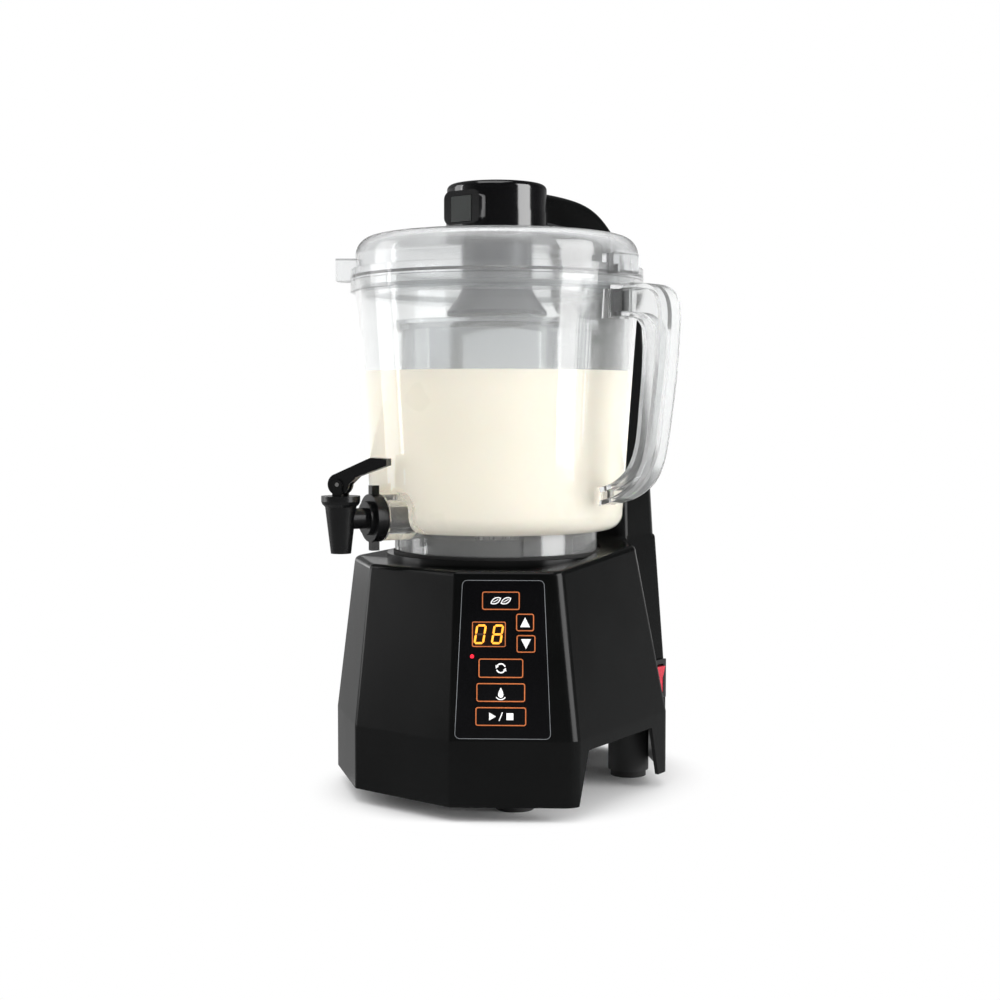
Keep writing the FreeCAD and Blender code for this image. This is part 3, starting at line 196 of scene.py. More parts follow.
def add_mesh(name, points, faces, material, body, smooth=False):
    """A mesh object with its place in its mesh, its material, and the body it rides on."""
    mesh = bpy.data.meshes.new(name)
    mesh.from_pydata(np.asarray(points).tolist(), [], faces)
    mesh.validate()
    mesh.polygons.foreach_set("use_smooth", np.full(len(mesh.polygons), smooth))
    mesh.materials.append(material)
    piece = bpy.data.objects.new(name, mesh)
    bpy.context.scene.collection.objects.link(piece)
    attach(piece, body)
    return piece


def printed(name, outlines, holes, low, high, material, body):
    """Printed marks: each outline is a flat prism from height low to high on the facet.
    An outline with a hole is a band, joined point by point to the hole's outline."""
    points, faces, start = [], [], 0
    for outline, hole in zip(outlines, holes):
        loops = [outline] if hole is None else [outline, hole]
        count = len(outline)
        for loop in loops:
            points.append(on_facet(loop, high))
            points.append(on_facet(loop, low))
        i = np.arange(count)
        j = (i + 1) % count
        top, base = start, start + count
        faces += np.column_stack([base + i, base + j, top + j, top + i]).tolist()
        if hole is None:
            faces.append(list(range(top, top + count)))
            faces.append(list(range(base + count - 1, base - 1, -1)))
        else:
            inner, floor = start + 2 * count, start + 3 * count
            faces += np.column_stack([inner + i, inner + j, floor + j, floor + i]).tolist()
            faces += np.column_stack([top + i, top + j, inner + j, inner + i]).tolist()
            faces += np.column_stack([floor + i, floor + j, base + j, base + i]).tolist()
        start += 2 * count * len(loops)
    return add_mesh(name, np.concatenate(points), faces, material, body)


def rounded_corners(corners, radius, steps=8):
    """Closed outline through the corners, counter-clockwise, each turned by an arc of the radius."""
    corners = np.asarray(corners, float)
    before = np.roll(corners, 1, axis=0) - corners
    after = np.roll(corners, -1, axis=0) - corners
    before /= np.linalg.norm(before, axis=1, keepdims=True)
    after /= np.linalg.norm(after, axis=1, keepdims=True)
    half = 0.5 * np.arccos(np.sum(before * after, axis=1))
    middle = before + after
    middle /= np.linalg.norm(middle, axis=1, keepdims=True)
    centre = corners + middle * (radius / np.sin(half))[:, None]
    start = np.arctan2(*(corners + before * (radius / np.tan(half))[:, None] - centre).T[::-1])
    turn = math.pi - 2.0 * half
    angle = start[:, None] + turn[:, None] * np.linspace(0.0, 1.0, steps)
    x = centre[:, :1] + radius * np.cos(angle)
    y = centre[:, 1:] + radius * np.sin(angle)
    return np.column_stack([x.ravel(), y.ravel()])


def rectangle(u, v, width, height):
    """Four corners, counter-clockwise, round a centre."""
    x, y = 0.5 * width, 0.5 * height
    return [(u - x, v - y), (u + x, v - y), (u + x, v + y), (u - x, v + y)]


panel_black = moulded("panel_black", (0.0025, 0.0025, 0.003), 0.12, specular=0.3)
key_black = moulded("key_black", (0.0025, 0.0025, 0.003), 0.16, specular=0.3)
# Grey of the strip round the film: a painted highlight of the film's edge, not a printed line.
edge_highlight_grey = moulded("edge_highlight_grey", (0.16, 0.17, 0.18), 0.35)
copper_print = moulded("copper_print", (0.5, 0.13, 0.03), 0.45)
white_print = moulded("white_print", (0.86, 0.86, 0.86), 0.5)
dress(panel_black, "control_fascia")

# Each key's centre, along the facet and above the table, its width and its height in millimetres
KEYS = {
    "butter": (7.4, 156.3, 27.3, 13.6),
    "up": (24.5, 141.2, 13.4, 13.0),
    "down": (25.2, 126.3, 14.0, 13.0),
    "mix": (7.6, 109.2, 32.2, 14.2),
    "dispense": (7.6, 92.3, 35.0, 13.8),
    "start_stop": (7.7, 75.6, 36.4, 13.8),
}
PANEL_HALF, PANEL_TAPER, PANEL_CORNER = 34.3, 5.0, 4.0
PANEL_LOW_V, PANEL_HIGH_V = facet_v(CREASE_Z + 1.5), facet_v(SHOULDER_Z - 6.0)
BORDER_OUTER, BORDER_INNER = 0.3, 0.75
BORDER_LOW, BORDER_TOP = 0.38, 0.46
KEY_TOP, KEY_MARGIN, KEY_LINE = 1.0, 0.7, 0.75
KEY_CORNERS = (1.7, 1.0)
SUNK, PRINT = 0.02, 0.06


def panel_outline(inset):
    """Outline of the film, a little narrower at its top, moved in by the inset."""
    left, right = PANEL_U - PANEL_HALF + inset, PANEL_U + PANEL_HALF - inset
    low, high = PANEL_LOW_V + inset, PANEL_HIGH_V - inset
    corners = [(left, low), (right, low), (right - PANEL_TAPER, high), (left + PANEL_TAPER, high)]
    return rounded_corners(corners, PANEL_CORNER - inset)


def line_frame(name, u, v, width, height, line, corners, low, high, body):
    """Printed frame round a centre: a band as wide as the line, its two corner radii outer first."""
    outer = rounded_corners(rectangle(u, v, width, height), corners[0])
    inner = rounded_corners(rectangle(u, v, width - 2 * line, height - 2 * line), corners[1])
    return printed(name, [outer], [inner], low, high, copper_print, body)


# The thin grey strip round the film is a painted highlight of its edge.
edge_highlight = printed(
    "panel_edge_highlight", [panel_outline(BORDER_OUTER)], [panel_outline(BORDER_INNER)],
    BORDER_LOW, BORDER_TOP, edge_highlight_grey, "machine",
)

for key, (u, z, width, height) in KEYS.items():
    dress(key_black, "key_" + key)
    lined = line_frame(
        "frame_" + key, u, facet_v(z), width - KEY_MARGIN, height - KEY_MARGIN, KEY_LINE, KEY_CORNERS,
        KEY_TOP - SUNK, KEY_TOP + PRINT, "k_" + key,
    )


# ---- Symbols on the keys -------------------------------------------------------------------------
# White printed signs: two almonds, arrows up and down, two turning arrows, a drop over its bowl, and
# a start triangle, a slash and a stop square. They are screen-printed on the key caps.
def triangle(u, v, size, turn):
    """Three corners at a third of a turn from each other, the first at the turn given in degrees."""
    angle = np.radians(turn + np.array([0.0, 120.0, 240.0]))
    return np.column_stack([u + size * np.cos(angle), v + size * np.sin(angle)])


def stroke(line, width):
    """Outline of an open line drawn with a pen of the width: its two edges, moved along the normal."""
    line = np.asarray(line, float)
    along = np.gradient(line, axis=0)
    along /= np.linalg.norm(along, axis=1, keepdims=True)
    side = np.column_stack([along[:, 1], -along[:, 0]]) * 0.5 * width
    return np.concatenate([line + side, (line - side)[::-1]])


def almond(u, v, length, width, turn):
    """Pointed oval, turned in radians: its half width falls off from the middle to each tip as one
    minus the square of the way along, to the power 0.85."""
    t = np.linspace(-1.0, 1.0, 17)
    y = 0.5 * width * (1.0 - t**2) ** 0.85
    x = 0.5 * length * t
    outline = np.concatenate([np.column_stack([x, -y]), np.column_stack([x, y])[-2:0:-1]])
    c, s = math.cos(turn), math.sin(turn)
    return outline @ np.array([[c, s], [-s, c]]) + (u, v)


def drop(u, v, height):
    """Drop: the half width is sin(t) times sin(t / 2) to the power 1.4, the height cos(t)."""
    t = np.linspace(0.0, 2.0 * math.pi, 33)[:-1]
    width = -0.36 * height * np.sin(t) * np.abs(np.sin(0.5 * t)) ** 1.4
    return np.column_stack([u + width, v + 0.5 * height * np.cos(t)])


def arc(u, v, radius, start, end, count=15):
    """Points on a circle round a centre, from one angle in degrees to the other."""
    angle = np.radians(np.linspace(start, end, count))
    return np.column_stack([u + radius * np.cos(angle), v + radius * np.sin(angle)])


ALMOND_OUT, ALMOND_IN, ALMOND_TURN = (8.4, 4.4), (6.4, 3.0), 0.5
ARROW, ARROW_NARROW = 4.6, 0.88
LOOP_R, LOOP_SWEEP, LOOP_TIP = 3.1, 125.0, 140.0
signs = {key: [] for key in KEYS}
centre = {key: (u, facet_v(z)) for key, (u, z, width, height) in KEYS.items()}

u, v = centre["butter"]
for side in (-3.6, 3.6):
    outer = almond(u + side, v, *ALMOND_OUT, ALMOND_TURN)
    inner = almond(u + side, v, *ALMOND_IN, ALMOND_TURN)
    signs["butter"].append((outer, inner))
for side in (-3.6, 3.6):
    seam = [(u + side - 1.8, v - 1.0), (u + side, v), (u + side + 1.8, v + 1.0)]
    signs["butter"].append((stroke(seam, 0.5), None))
for key, way in (("up", 1.0), ("down", -1.0)):
    u, v = centre[key]
    arrow = triangle(u, v - way, ARROW, 90.0 * way) * (ARROW_NARROW, 1.0)
    signs[key].append((arrow + ((1.0 - ARROW_NARROW) * u, 0.0), None))
u, v = centre["mix"]
for start in (20.0, 200.0):
    signs["mix"].append((stroke(arc(u, v, LOOP_R, start, start + LOOP_SWEEP), 0.9), None))
    tip = arc(u, v, LOOP_R, start + LOOP_TIP, start + LOOP_TIP, 1)[0]
    signs["mix"].append((triangle(tip[0], tip[1], 1.5, start + LOOP_TIP + 90.0), None))
u, v = centre["dispense"]
signs["dispense"].append((drop(u, v, 7.2), None))
signs["dispense"].append((stroke(arc(u, v - 1.0, 3.9, 215.0, 325.0), 0.7)[::-1], None))
u, v = centre["start_stop"]
signs["start_stop"].append((triangle(u - 6.6, v, 3.2, 0.0), None))
signs["start_stop"].append((stroke([(u - 1.2, v - 3.0), (u, v), (u + 1.2, v + 3.0)], 0.7), None))
signs["start_stop"].append((np.array(rectangle(u + 6.4, v, 4.8, 4.8)), None))

for key, marks in signs.items():
    outlines, holes = zip(*marks)
    sign = printed("sign_" + key, outlines, holes, KEY_TOP - SUNK, KEY_TOP + PRINT, white_print, "k_" + key)

# ---- Display and status light --------------------------------------------------------------------
# A two-digit seven-segment module sits behind a dark window in the film. Its lit bars are amber,
# the dark ones stay faintly visible; a small red diode lies below it.
DISPLAY_U, DISPLAY_Z, DISPLAY_W, DISPLAY_H = -1.0, 132.8, 24.2, 18.2
DISPLAY_TOP, DISPLAY_MARGIN, DISPLAY_LINE = 0.3, 0.4, 0.65
DISPLAY_CORNERS = (1.2, 0.7)
DISPLAY_FRAME_RISE = 0.1
DIGIT_H, DIGIT_W, DIGIT_PITCH = 12.4, 6.0, 12.2
BAR, BAR_GAP, BAR_PRINT = 1.45, 0.3, 0.08
SLANT = math.tan(math.radians(9.0))


def lit(name, colour, strength, spot):
    """Lit lens: it glows in its own colour, a little brighter in patches."""
    material, tree, bsdf, coordinate = shader(name)
    glow = cloud(tree, coordinate, spot)
    low = [0.8 * c for c in colour]
    shade = blended(tree, glow, low, colour)
    tree.links.new(shade, bsdf.inputs["Base Color"])
    tree.links.new(shade, bsdf.inputs["Emission Color"])
    bsdf.inputs["Emission Strength"].default_value = strength
    bsdf.inputs["Roughness"].default_value = 0.4
    return material


display_dark = moulded("display_dark", (0.012, 0.006, 0.004), 0.1)
segment_lit = lit("segment_lit", (1.0, 0.36, 0.03), 1.1, 300.0)
segment_off = moulded("segment_off", (0.055, 0.03, 0.02), 0.4)
dress(display_dark, "display_module")


def bar(u, v, length, upright):
    """One bar of a figure: a long hexagon, its ends cut at 45 degrees."""
    a, b = 0.5 * length, 0.5 * BAR
    shape = np.array([(-a, 0.0), (-a + b, -b), (a - b, -b), (a, 0.0), (a - b, b), (-a + b, b)])
    if upright:
        shape = shape[:, ::-1] * (-1.0, 1.0)
    return shape + (u, v)


def figure(u, v):
    """The seven bars of a figure, clockwise from the top one, and the middle one last."""
    x, y = 0.5 * DIGIT_W, 0.5 * DIGIT_H
    long, short = DIGIT_H / 2.0 - BAR_GAP, DIGIT_W - BAR_GAP
    bars = [bar(0, y, short, False), bar(x, y / 2, long, True), bar(x, -y / 2, long, True)]
    bars += [bar(0, -y, short, False), bar(-x, -y / 2, long, True), bar(-x, y / 2, long, True)]
    bars.append(bar(0, 0, short, False))
    return [b + np.column_stack([b[:, 1] * SLANT, 0 * b[:, 1]]) + (u, v) for b in bars]


display_v = facet_v(DISPLAY_Z)
left_figure = figure(DISPLAY_U - 0.5 * DIGIT_PITCH, display_v)
right_figure = figure(DISPLAY_U + 0.5 * DIGIT_PITCH, display_v)
level = DISPLAY_TOP - SUNK
bar_sets = (
    ("figures_lit", left_figure[:6] + right_figure, segment_lit),
    ("figures_dark", left_figure[6:], segment_off),
)
for name, bars, material in bar_sets:
    figures = printed(name, bars, [None] * len(bars), level, level + BAR_PRINT, material, "machine")
window = line_frame(
    "frame_display", DISPLAY_U, display_v, DISPLAY_W - DISPLAY_MARGIN, DISPLAY_H - DISPLAY_MARGIN,
    DISPLAY_LINE, DISPLAY_CORNERS, level, DISPLAY_TOP + DISPLAY_FRAME_RISE, "machine",
)
led_red = lit("led_red", (0.9, 0.01, 0.03), 1.2, 800.0)
dress(led_red, "status_led")

# ---- Rocker switch and mains inlet ---------------------------------------------------------------
# A snap-in rocker with a translucent red cap sits low on the right, near the rear edge; the inlet is
# an appliance socket of matt black plastic with three brass pins.
rocker_red = moulded("rocker_red", (0.5, 0.035, 0.055), 0.22)
pin_brass = brushed("pin_brass", (0.72, 0.52, 0.22), 0.3, (400.0, 60.0, 400.0))
dress(cover_dark, "rocker_frame", "mains_inlet")
dress(rocker_red, "power_rocker")
dress(pin_brass, "inlet_pins")

# ---- Boards, motor and drive inside the base -----------------------------------------------------
# Green glass-fibre boards, a laminated stator between two cast bells, and a nylon fan and coupling.
# They are closed in by the shell and hang from its deck.
board_green = moulded("board_green", (0.02, 0.09, 0.04), 0.35, grain=0.00003, grain_scale=600.0)
cast_alloy = brushed("cast_alloy", (0.5, 0.5, 0.51), 0.5, (700.0, 700.0, 700.0))
lamination = brushed("lamination", (0.22, 0.22, 0.23), 0.45, (30.0, 30.0, 2200.0))
dress(board_green, "control_board", "power_board")
dress(cast_alloy, "motor_bells", "wiper_gearmotor")
dress(lamination, "motor_stator")
dress(cover_dark, "cooling_fan", "drive_coupling", "blade_hub")

# ---- Column and arm ------------------------------------------------------------------------------
# Two gloss black half shells close round a painted steel channel. The arm is a hollow black shell
# with a satin charcoal belly, hinged on a steel pin at the top of the column.
arm_charcoal = moulded("arm_charcoal", (0.02, 0.021, 0.022), 0.38)
frame_black = moulded("frame_black", (0.02, 0.02, 0.02), 0.5, grain=0.00001)
dress(shell_black, "column_front_cover", "column_rear_cover", "arm_upper_cover")
dress(arm_charcoal, "arm_lower_cover")
dress(frame_black, "column_frame", "arm_frame")


# ---- Bowl and handle -----------------------------------------------------------------------------
# The bowl is a thick clear copolyester moulding, water-clear with a faint grey edge. The handle is an
# open I-section of the same plastic, welded to two blocks on the wall.
def clear(name, colour, roughness, ior=1.5):
    """Clear moulding: most light passes with a faint tint, a tenth scatters, and slow ripples bend it."""
    material, tree, bsdf, coordinate = shader(name)
    bsdf.inputs["Transmission Weight"].default_value = 0.9
    bsdf.inputs["IOR"].default_value = ior
    drift = cloud(tree, coordinate, 14.0)
    paler = [min(1.0, 1.03 * c) for c in colour]
    tree.links.new(blended(tree, drift, colour, paler), bsdf.inputs["Base Color"])
    tree.links.new(spread(tree, drift, 0.7 * roughness, 1.4 * roughness), bsdf.inputs["Roughness"])
    dented(tree, bsdf, cloud(tree, coordinate, 38.0, 1.0), 0.00012)
    return material


clear_bowl = clear("clear_bowl", (0.955, 0.965, 0.965), 0.06)
clear_handle = clear("clear_handle", (0.93, 0.94, 0.94), 0.09)
dress(clear_bowl, "mixing_bowl")
dress(clear_handle, "bowl_handle")

# ---- Milk ----------------------------------------------------------------------------------------
# Fresh nut milk fills the bowl to a little under two thirds of its height and creeps up the wall all
# round. The well that the bowl's wall has behind the spigot is cut out of it.
FLOOR_Z, MILK_Z = 205.0, 318.6
FLOOR_R, RIM_R, RIM_Z = 92.5, 104.0, 387.0
FLOOR_ROUND = 9.0
WETTING = 0.25
LIP_REACH, LIP_RISE = 3.0, 0.9
# Strength of the glow painted into the milk: painted light, not a lamp.
MILK_PAINTED_GLOW = 0.27
WELL_TURN, WELL_R, WELL_HALF = math.radians(-112.0), 73.0, 35.5
WELL_LOW, WELL_TOP, WELL_ROUND = 180.0, 234.5, 17.5


def turned(name, profile, material, body, steps=128):
    """Surface of revolution about Z of (radius, height) points; a first or last radius of zero is a pole."""
    profile = np.asarray(profile, float)
    angle = np.linspace(0.0, 2.0 * math.pi, steps, endpoint=False)
    x = profile[:, :1] * np.cos(angle)
    y = profile[:, :1] * np.sin(angle)
    z = profile[:, 1:] + 0.0 * angle
    points = np.stack([x, y, z], axis=-1).reshape(-1, 3) * MM
    row, turn = np.meshgrid(np.arange(len(profile) - 1), np.arange(steps), indexing="ij")
    after = (turn + 1) % steps
    low, high = row * steps, (row + 1) * steps
    quads = np.stack([low + turn, low + after, high + after, high + turn], -1)
    piece = add_mesh(name, points, quads.reshape(-1, 4).tolist(), material, body, smooth=True)
    weld(piece)
    return piece


def weld(piece):
    """Points that fall together, as at a pole, become one, and the faces that vanish go."""
    mesh = bmesh.new()
    mesh.from_mesh(piece.data)
    bmesh.ops.remove_doubles(mesh, verts=mesh.verts, dist=1e-6)
    bmesh.ops.dissolve_degenerate(mesh, edges=mesh.edges, dist=1e-7)
    bmesh.ops.recalc_face_normals(mesh, faces=mesh.faces)
    mesh.to_mesh(piece.data)
    mesh.free()


def milky(name, colour):
    """Opaque cream liquid with a soft sheen: light enters its skin a little, and a faint glow in its own
    colour is painted light that makes it brighter than its lighting does."""
    material, tree, bsdf, coordinate = shader(name)
    drift = cloud(tree, coordinate, 9.0)
    deeper = [c * f for c, f in zip(colour, (0.985, 0.975, 0.93))]
    tree.links.new(blended(tree, drift, deeper, colour), bsdf.inputs["Base Color"])
    tree.links.new(spread(tree, drift, 0.25, 0.35), bsdf.inputs["Roughness"])
    # Painted light: the milk glows faintly in its own colour, so it reads brighter than its lighting makes
    # it.
    bsdf.inputs["Emission Color"].default_value = (*colour, 1.0)
    bsdf.inputs["Emission Strength"].default_value = MILK_PAINTED_GLOW
    bsdf.inputs["Subsurface Weight"].default_value = 0.15
    bsdf.inputs["Subsurface Scale"].default_value = 0.004
    dented(tree, bsdf, cloud(tree, coordinate, 60.0, 1.0), 0.00003)
    return material


milk_white = milky("milk_white", (0.96, 0.905, 0.79))
bend_z = FLOOR_Z + FLOOR_ROUND
wall_r = FLOOR_R + (RIM_R - FLOOR_R) * (MILK_Z - bend_z) / (RIM_Z - bend_z)
turn = np.linspace(-0.5 * math.pi, 0.0, 9)
corner_r = FLOOR_R - FLOOR_ROUND + FLOOR_ROUND * np.cos(turn)
corner_z = bend_z + FLOOR_ROUND * np.sin(turn)
climb = np.linspace(0.0, 1.0, 24)
side_r = FLOOR_R + (wall_r - FLOOR_R) * climb
side_z = bend_z + (MILK_Z - bend_z) * climb
creep = np.linspace(0.0, 1.0, 6)
lip_r = wall_r - LIP_REACH * creep
lip_z = MILK_Z + LIP_RISE * (1.0 - creep) ** 2
profile = np.concatenate([
    [(0.0, FLOOR_Z - WETTING)],
    np.column_stack([corner_r + WETTING, corner_z - WETTING]),
    np.column_stack([side_r + WETTING, side_z])[1:],
    np.column_stack([lip_r + WETTING, lip_z]),
    [(0.0, MILK_Z)],
])
milk = turned("milk_fill", profile, milk_white, "machine")
well_width, well_height = 2.0 * (WELL_HALF - WETTING), WELL_TOP - WELL_LOW - 2.0 * WETTING
opening = rectangle(0.0, 0.5 * (WELL_LOW + WELL_TOP), well_width, well_height)
outline = rounded_corners(opening, WELL_ROUND - WETTING, 12)
count = len(outline)
depth = np.repeat([WELL_R + WETTING, 1.2 * RIM_R], count)
across = np.tile(outline[:, 0], 2)
points = np.column_stack([
    depth * math.cos(WELL_TURN) - across * math.sin(WELL_TURN),
    depth * math.sin(WELL_TURN) + across * math.cos(WELL_TURN),
    np.tile(outline[:, 1], 2),
]) * MM
i = np.arange(count)
sides = np.column_stack([i, i + count, (i + 1) % count + count, (i + 1) % count]).tolist()
well = add_mesh("well", points, sides + [i.tolist(), (i[::-1] + count).tolist()], milk_white, "machine")
weld(well)
carve = milk.modifiers.new("well", "BOOLEAN")
carve.object = well
carve.solver = "EXACT"
milk.data = bpy.data.meshes.new_from_object(milk.evaluated_get(bpy.context.evaluated_depsgraph_get()))
milk.modifiers.clear()
milk.data.set_sharp_from_angle(angle=math.radians(40.0))
bpy.data.objects.remove(well)

# ---- Filter basket and its mesh ------------------------------------------------------------------
# A clear basket stands in the bowl, round the steel blades. Fine woven steel mesh closes the windows
# in its wall.
clear_basket = clear("clear_basket", (0.84, 0.855, 0.865), 0.1)
dress(clear_basket, "filter_basket")
mesh_steel = brushed("mesh_steel", (0.55, 0.55, 0.54), 0.4, (1800.0, 1800.0, 1800.0))
dress(mesh_steel, "filter_mesh")

# ---- Lid, gasket and wiper -----------------------------------------------------------------------
# The lid is the bowl's clear plastic with a soft clear gasket. A smoke-grey hub turns in its centre
# and carries two pale grey paddles down into the basket.
clear_lid = clear("clear_lid", (0.93, 0.94, 0.945), 0.09)
gasket_clear = clear("gasket_clear", (0.78, 0.8, 0.81), 0.35, 1.41)
dress(clear_lid, "lid")
dress(gasket_clear, "lid_gasket")
hub_grey = moulded("hub_grey", (0.06, 0.063, 0.07), 0.3)
paddle_grey = moulded("paddle_grey", (0.42, 0.44, 0.46), 0.35)
dress(hub_grey, "lid_bushing", "wiper_hub")
dress(paddle_grey, "wiper_paddles")

# ---- Head and latch button -----------------------------------------------------------------------
# The round head is polished black in two halves with a fine parting line. A rounded bezel frames the
# latch button, which is a dark satin insert.
head_black = moulded("head_black", (0.004, 0.004, 0.0045), 0.12, specular=0.9)
button_charcoal = moulded("button_charcoal", (0.016, 0.02, 0.018), 0.3)
dress(head_black, "head_body", "head_cap", "button_bezel")
dress(button_charcoal, "latch_button")

# ---- Spigot --------------------------------------------------------------------------------------
# A tap of satin black polypropylene. Its body has a tapered outlet, a winged nut holds it to the bowl,
# and a lever lifts its stem.
spigot_black = moulded("spigot_black", (0.004, 0.0042, 0.0045), 0.26, grain=0.000003, specular=0.35)
dress(spigot_black, "spigot_body", "spigot_nut", "spigot_stem", "spigot_lever")

# ---- Floor, world and lights ---------------------------------------------------------------------
# A pale floor keeps a soft shadow near the feet and runs into a white surround. A tall soft box stands
# at each side, with a strip beside the left one, and a wide one hangs above. What the gloss mirrors of
# the room is bright low on the left and dark above.
FLOOR_SIZE = 8.0
FOOTPRINT_PLACE, FOOTPRINT_REACH = (0.0, 0.025, 0.0), (0.13, 0.15, 1.0)
SHADOW_FULL, SHADOW_GONE = 0.86, 1.18
GLOSS_SHARE = 0.35
ROOM_LIGHT = 0.9
WHITE = (1.0, 1.0, 1.0, 1.0)
square = np.array([(-1, -1, 0), (1, -1, 0), (1, 1, 0), (-1, 1, 0)], float) * 0.5 * FLOOR_SIZE
floor_mesh = bpy.data.meshes.new("floor")
floor_mesh.from_pydata(square.tolist(), [], [(0, 1, 2, 3)])
floor = bpy.data.objects.new("floor", floor_mesh)
bpy.context.scene.collection.objects.link(floor)


def joined(tree, operation, first, second):
    """Two numbers joined by the operation."""
    join = tree.nodes.new("ShaderNodeMath")
    join.operation = operation
    tree.links.new(first, join.inputs[0])
    tree.links.new(second, join.inputs[1])
    return join.outputs[0]


def seen(tree, *kinds):
    """One for a ray of any of the kinds, else zero."""
    path = tree.nodes.new("ShaderNodeLightPath")
    total = path.outputs[kinds[0]]
    for kind in kinds[1:]:
        total = joined(tree, "MAXIMUM", total, path.outputs[kind])
    return total


def mirrored_less(tree):
    """One for every ray but a mirrored one, which gets GLOSS_SHARE."""
    reach = tree.nodes.new("ShaderNodeMapRange")
    reach.inputs["To Min"].default_value = 1.0
    reach.inputs["To Max"].default_value = GLOSS_SHARE
    tree.links.new(seen(tree, "Is Glossy Ray"), reach.inputs["Value"])
    return reach.outputs["Result"]


floor_white, tree, bsdf, coordinate = shader("floor_white")
floor_mesh.materials.append(floor_white)
bsdf.inputs["Base Color"].default_value = (0.93, 0.93, 0.93, 1.0)
bsdf.inputs["Roughness"].default_value = 0.6
bsdf.inputs["Specular IOR Level"].default_value = 0.2
footprint = tree.nodes.new("ShaderNodeMapping")
footprint.vector_type = "TEXTURE"
footprint.inputs["Location"].default_value = FOOTPRINT_PLACE
footprint.inputs["Scale"].default_value = FOOTPRINT_REACH
tree.links.new(coordinate.outputs["Object"], footprint.inputs["Vector"])
distance = tree.nodes.new("ShaderNodeVectorMath")
distance.operation = "LENGTH"
tree.links.new(footprint.outputs["Vector"], distance.inputs[0])
fade = tree.nodes.new("ShaderNodeMapRange")
fade.interpolation_type = "SMOOTHSTEP"
fade.inputs["From Min"].default_value = SHADOW_FULL
fade.inputs["From Max"].default_value = SHADOW_GONE
tree.links.new(distance.outputs["Value"], fade.inputs["Value"])
shown = seen(tree, "Is Camera Ray", "Is Glossy Ray", "Is Transmission Ray")
glow = tree.nodes.new("ShaderNodeEmission")
tree.links.new(mirrored_less(tree), glow.inputs["Strength"])
mixed = tree.nodes.new("ShaderNodeMixShader")
tree.links.new(joined(tree, "MULTIPLY", fade.outputs["Result"], shown), mixed.inputs["Fac"])
tree.links.new(bsdf.outputs["BSDF"], mixed.inputs[1])
tree.links.new(glow.outputs["Emission"], mixed.inputs[2])
tree.links.new(mixed.outputs["Shader"], tree.nodes["Material Output"].inputs["Surface"])

world = bpy.data.worlds.new("studio")
bpy.context.scene.world = world
world.use_nodes = True
tree = world.node_tree
tree.nodes.remove(tree.nodes["Background"])
coordinate = tree.nodes.new("ShaderNodeTexCoord")


def white_ground(strength):
    """White surround; its strength is a number or the output of a node."""
    ground = tree.nodes.new("ShaderNodeBackground")
    ground.inputs["Color"].default_value = WHITE
    if isinstance(strength, float):
        ground.inputs["Strength"].default_value = strength
    else:
        tree.links.new(strength, ground.inputs["Strength"])
    return ground.outputs[0]


def graded(direction, start, end, low, high):
    """Smooth step from low to high as the ray's share along the direction goes from start to end."""
    share = tree.nodes.new("ShaderNodeVectorMath")
    share.operation = "DOT_PRODUCT"
    share.inputs[1].default_value = direction
    tree.links.new(coordinate.outputs["Generated"], share.inputs[0])
    ramp = tree.nodes.new("ShaderNodeMapRange")
    ramp.interpolation_type = "SMOOTHSTEP"
    ramp.inputs["From Min"].default_value = start
    ramp.inputs["From Max"].default_value = end
    ramp.inputs["To Min"].default_value = low
    ramp.inputs["To Max"].default_value = high
    tree.links.new(share.outputs["Value"], ramp.inputs["Value"])
    return ramp.outputs["Result"]


def chosen(factor, first, second):
    """The first surround where the factor is zero, the second where it is one."""
    mix = tree.nodes.new("ShaderNodeMixShader")
    tree.links.new(factor, mix.inputs["Fac"])
    tree.links.new(first, mix.inputs[1])
    tree.links.new(second, mix.inputs[2])
    return mix.outputs[0]


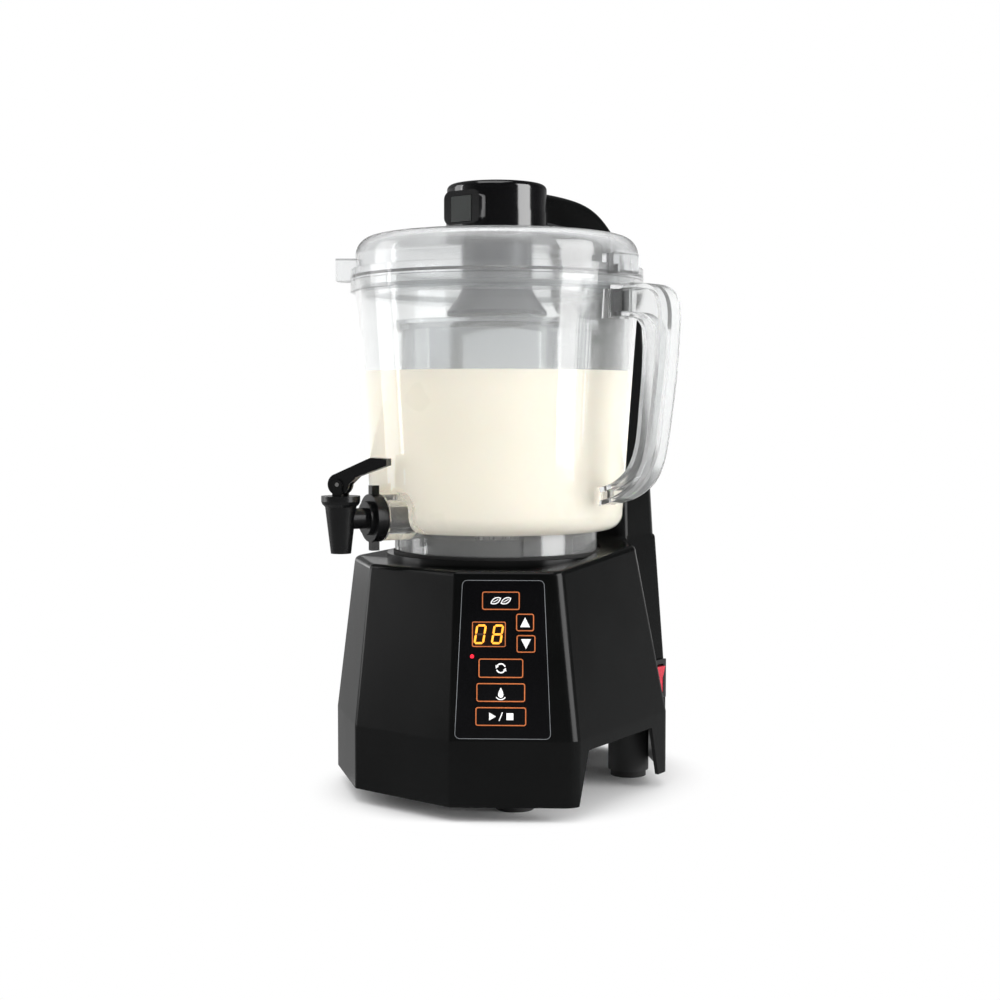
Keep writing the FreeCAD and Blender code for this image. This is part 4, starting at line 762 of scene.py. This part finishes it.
leftward = graded((-0.927, 0.375, 0.0), -0.3, 1.0, 0.1, 1.6)
above = graded((0.0, 0.0, 1.0), 0.0, 0.16, 1.0, 0.12)
mirrored = white_ground(joined(tree, "MULTIPLY", leftward, above))
room = chosen(seen(tree, "Is Glossy Ray"), white_ground(ROOM_LIGHT), mirrored)
surround = chosen(seen(tree, "Is Camera Ray", "Is Transmission Ray"), room, white_ground(1.0))
tree.links.new(surround, tree.nodes["World Output"].inputs["Surface"])


LAMPS = {
    "soft_box_right": {"azimuth": 104.0, "distance": 1.4, "height": 0.6, "size": (0.8, 1.2), "watts": 19.0},
    "soft_box_left": {"azimuth": -62.0, "distance": 1.4, "height": 0.5, "size": (0.5, 1.3), "watts": 5.0},
    "strip_left": {"azimuth": -49.0, "distance": 1.5, "height": 0.5, "size": (0.1, 1.0), "watts": 2.0},
    "soft_box_top": {"azimuth": 20.0, "distance": 0.5, "height": 1.7, "size": (1.2, 1.2), "watts": 8.0},
}
LAMP_AIM = Vector((0.0, 0.0, 0.25))


def soft_box(name, azimuth, distance, height, size, watts):
    """Area lamp at an azimuth round the object, in degrees from its front, aimed at its middle."""
    lamp = bpy.data.lights.new(name, "AREA")
    lamp.shape = "RECTANGLE"
    lamp.size, lamp.size_y = size
    lamp.energy = watts
    turn = math.radians(azimuth)
    place = Vector((math.sin(turn) * distance, -math.cos(turn) * distance, height))
    box = bpy.data.objects.new(name, lamp)
    box.location = place
    box.rotation_euler = (LAMP_AIM - place).to_track_quat("-Z", "Y").to_euler()
    box.visible_camera = False
    bpy.context.scene.collection.objects.link(box)


for name, values in LAMPS.items():
    soft_box(name, **values)

# ---- Camera --------------------------------------------------------------------------------------
# A moderate telephoto a little above the bowl's middle, turned to the panel facet.
CAMERA_PLACE = (0.7867, -0.9714, 0.294)
CAMERA_TURN, CAMERA_PITCH = 38.895, 3.33
CAMERA_LENS, CAMERA_SENSOR = 58.8, 36.0
camera_data = bpy.data.cameras.new("camera")
camera_data.lens = CAMERA_LENS
camera_data.sensor_width = CAMERA_SENSOR
camera = bpy.data.objects.new("camera", camera_data)
camera.location = CAMERA_PLACE
camera.rotation_euler = (math.radians(90.0 - CAMERA_PITCH), 0.0, math.radians(CAMERA_TURN))
bpy.context.scene.collection.objects.link(camera)
bpy.context.scene.camera = camera
bpy.context.scene.view_settings.view_transform = "Standard"
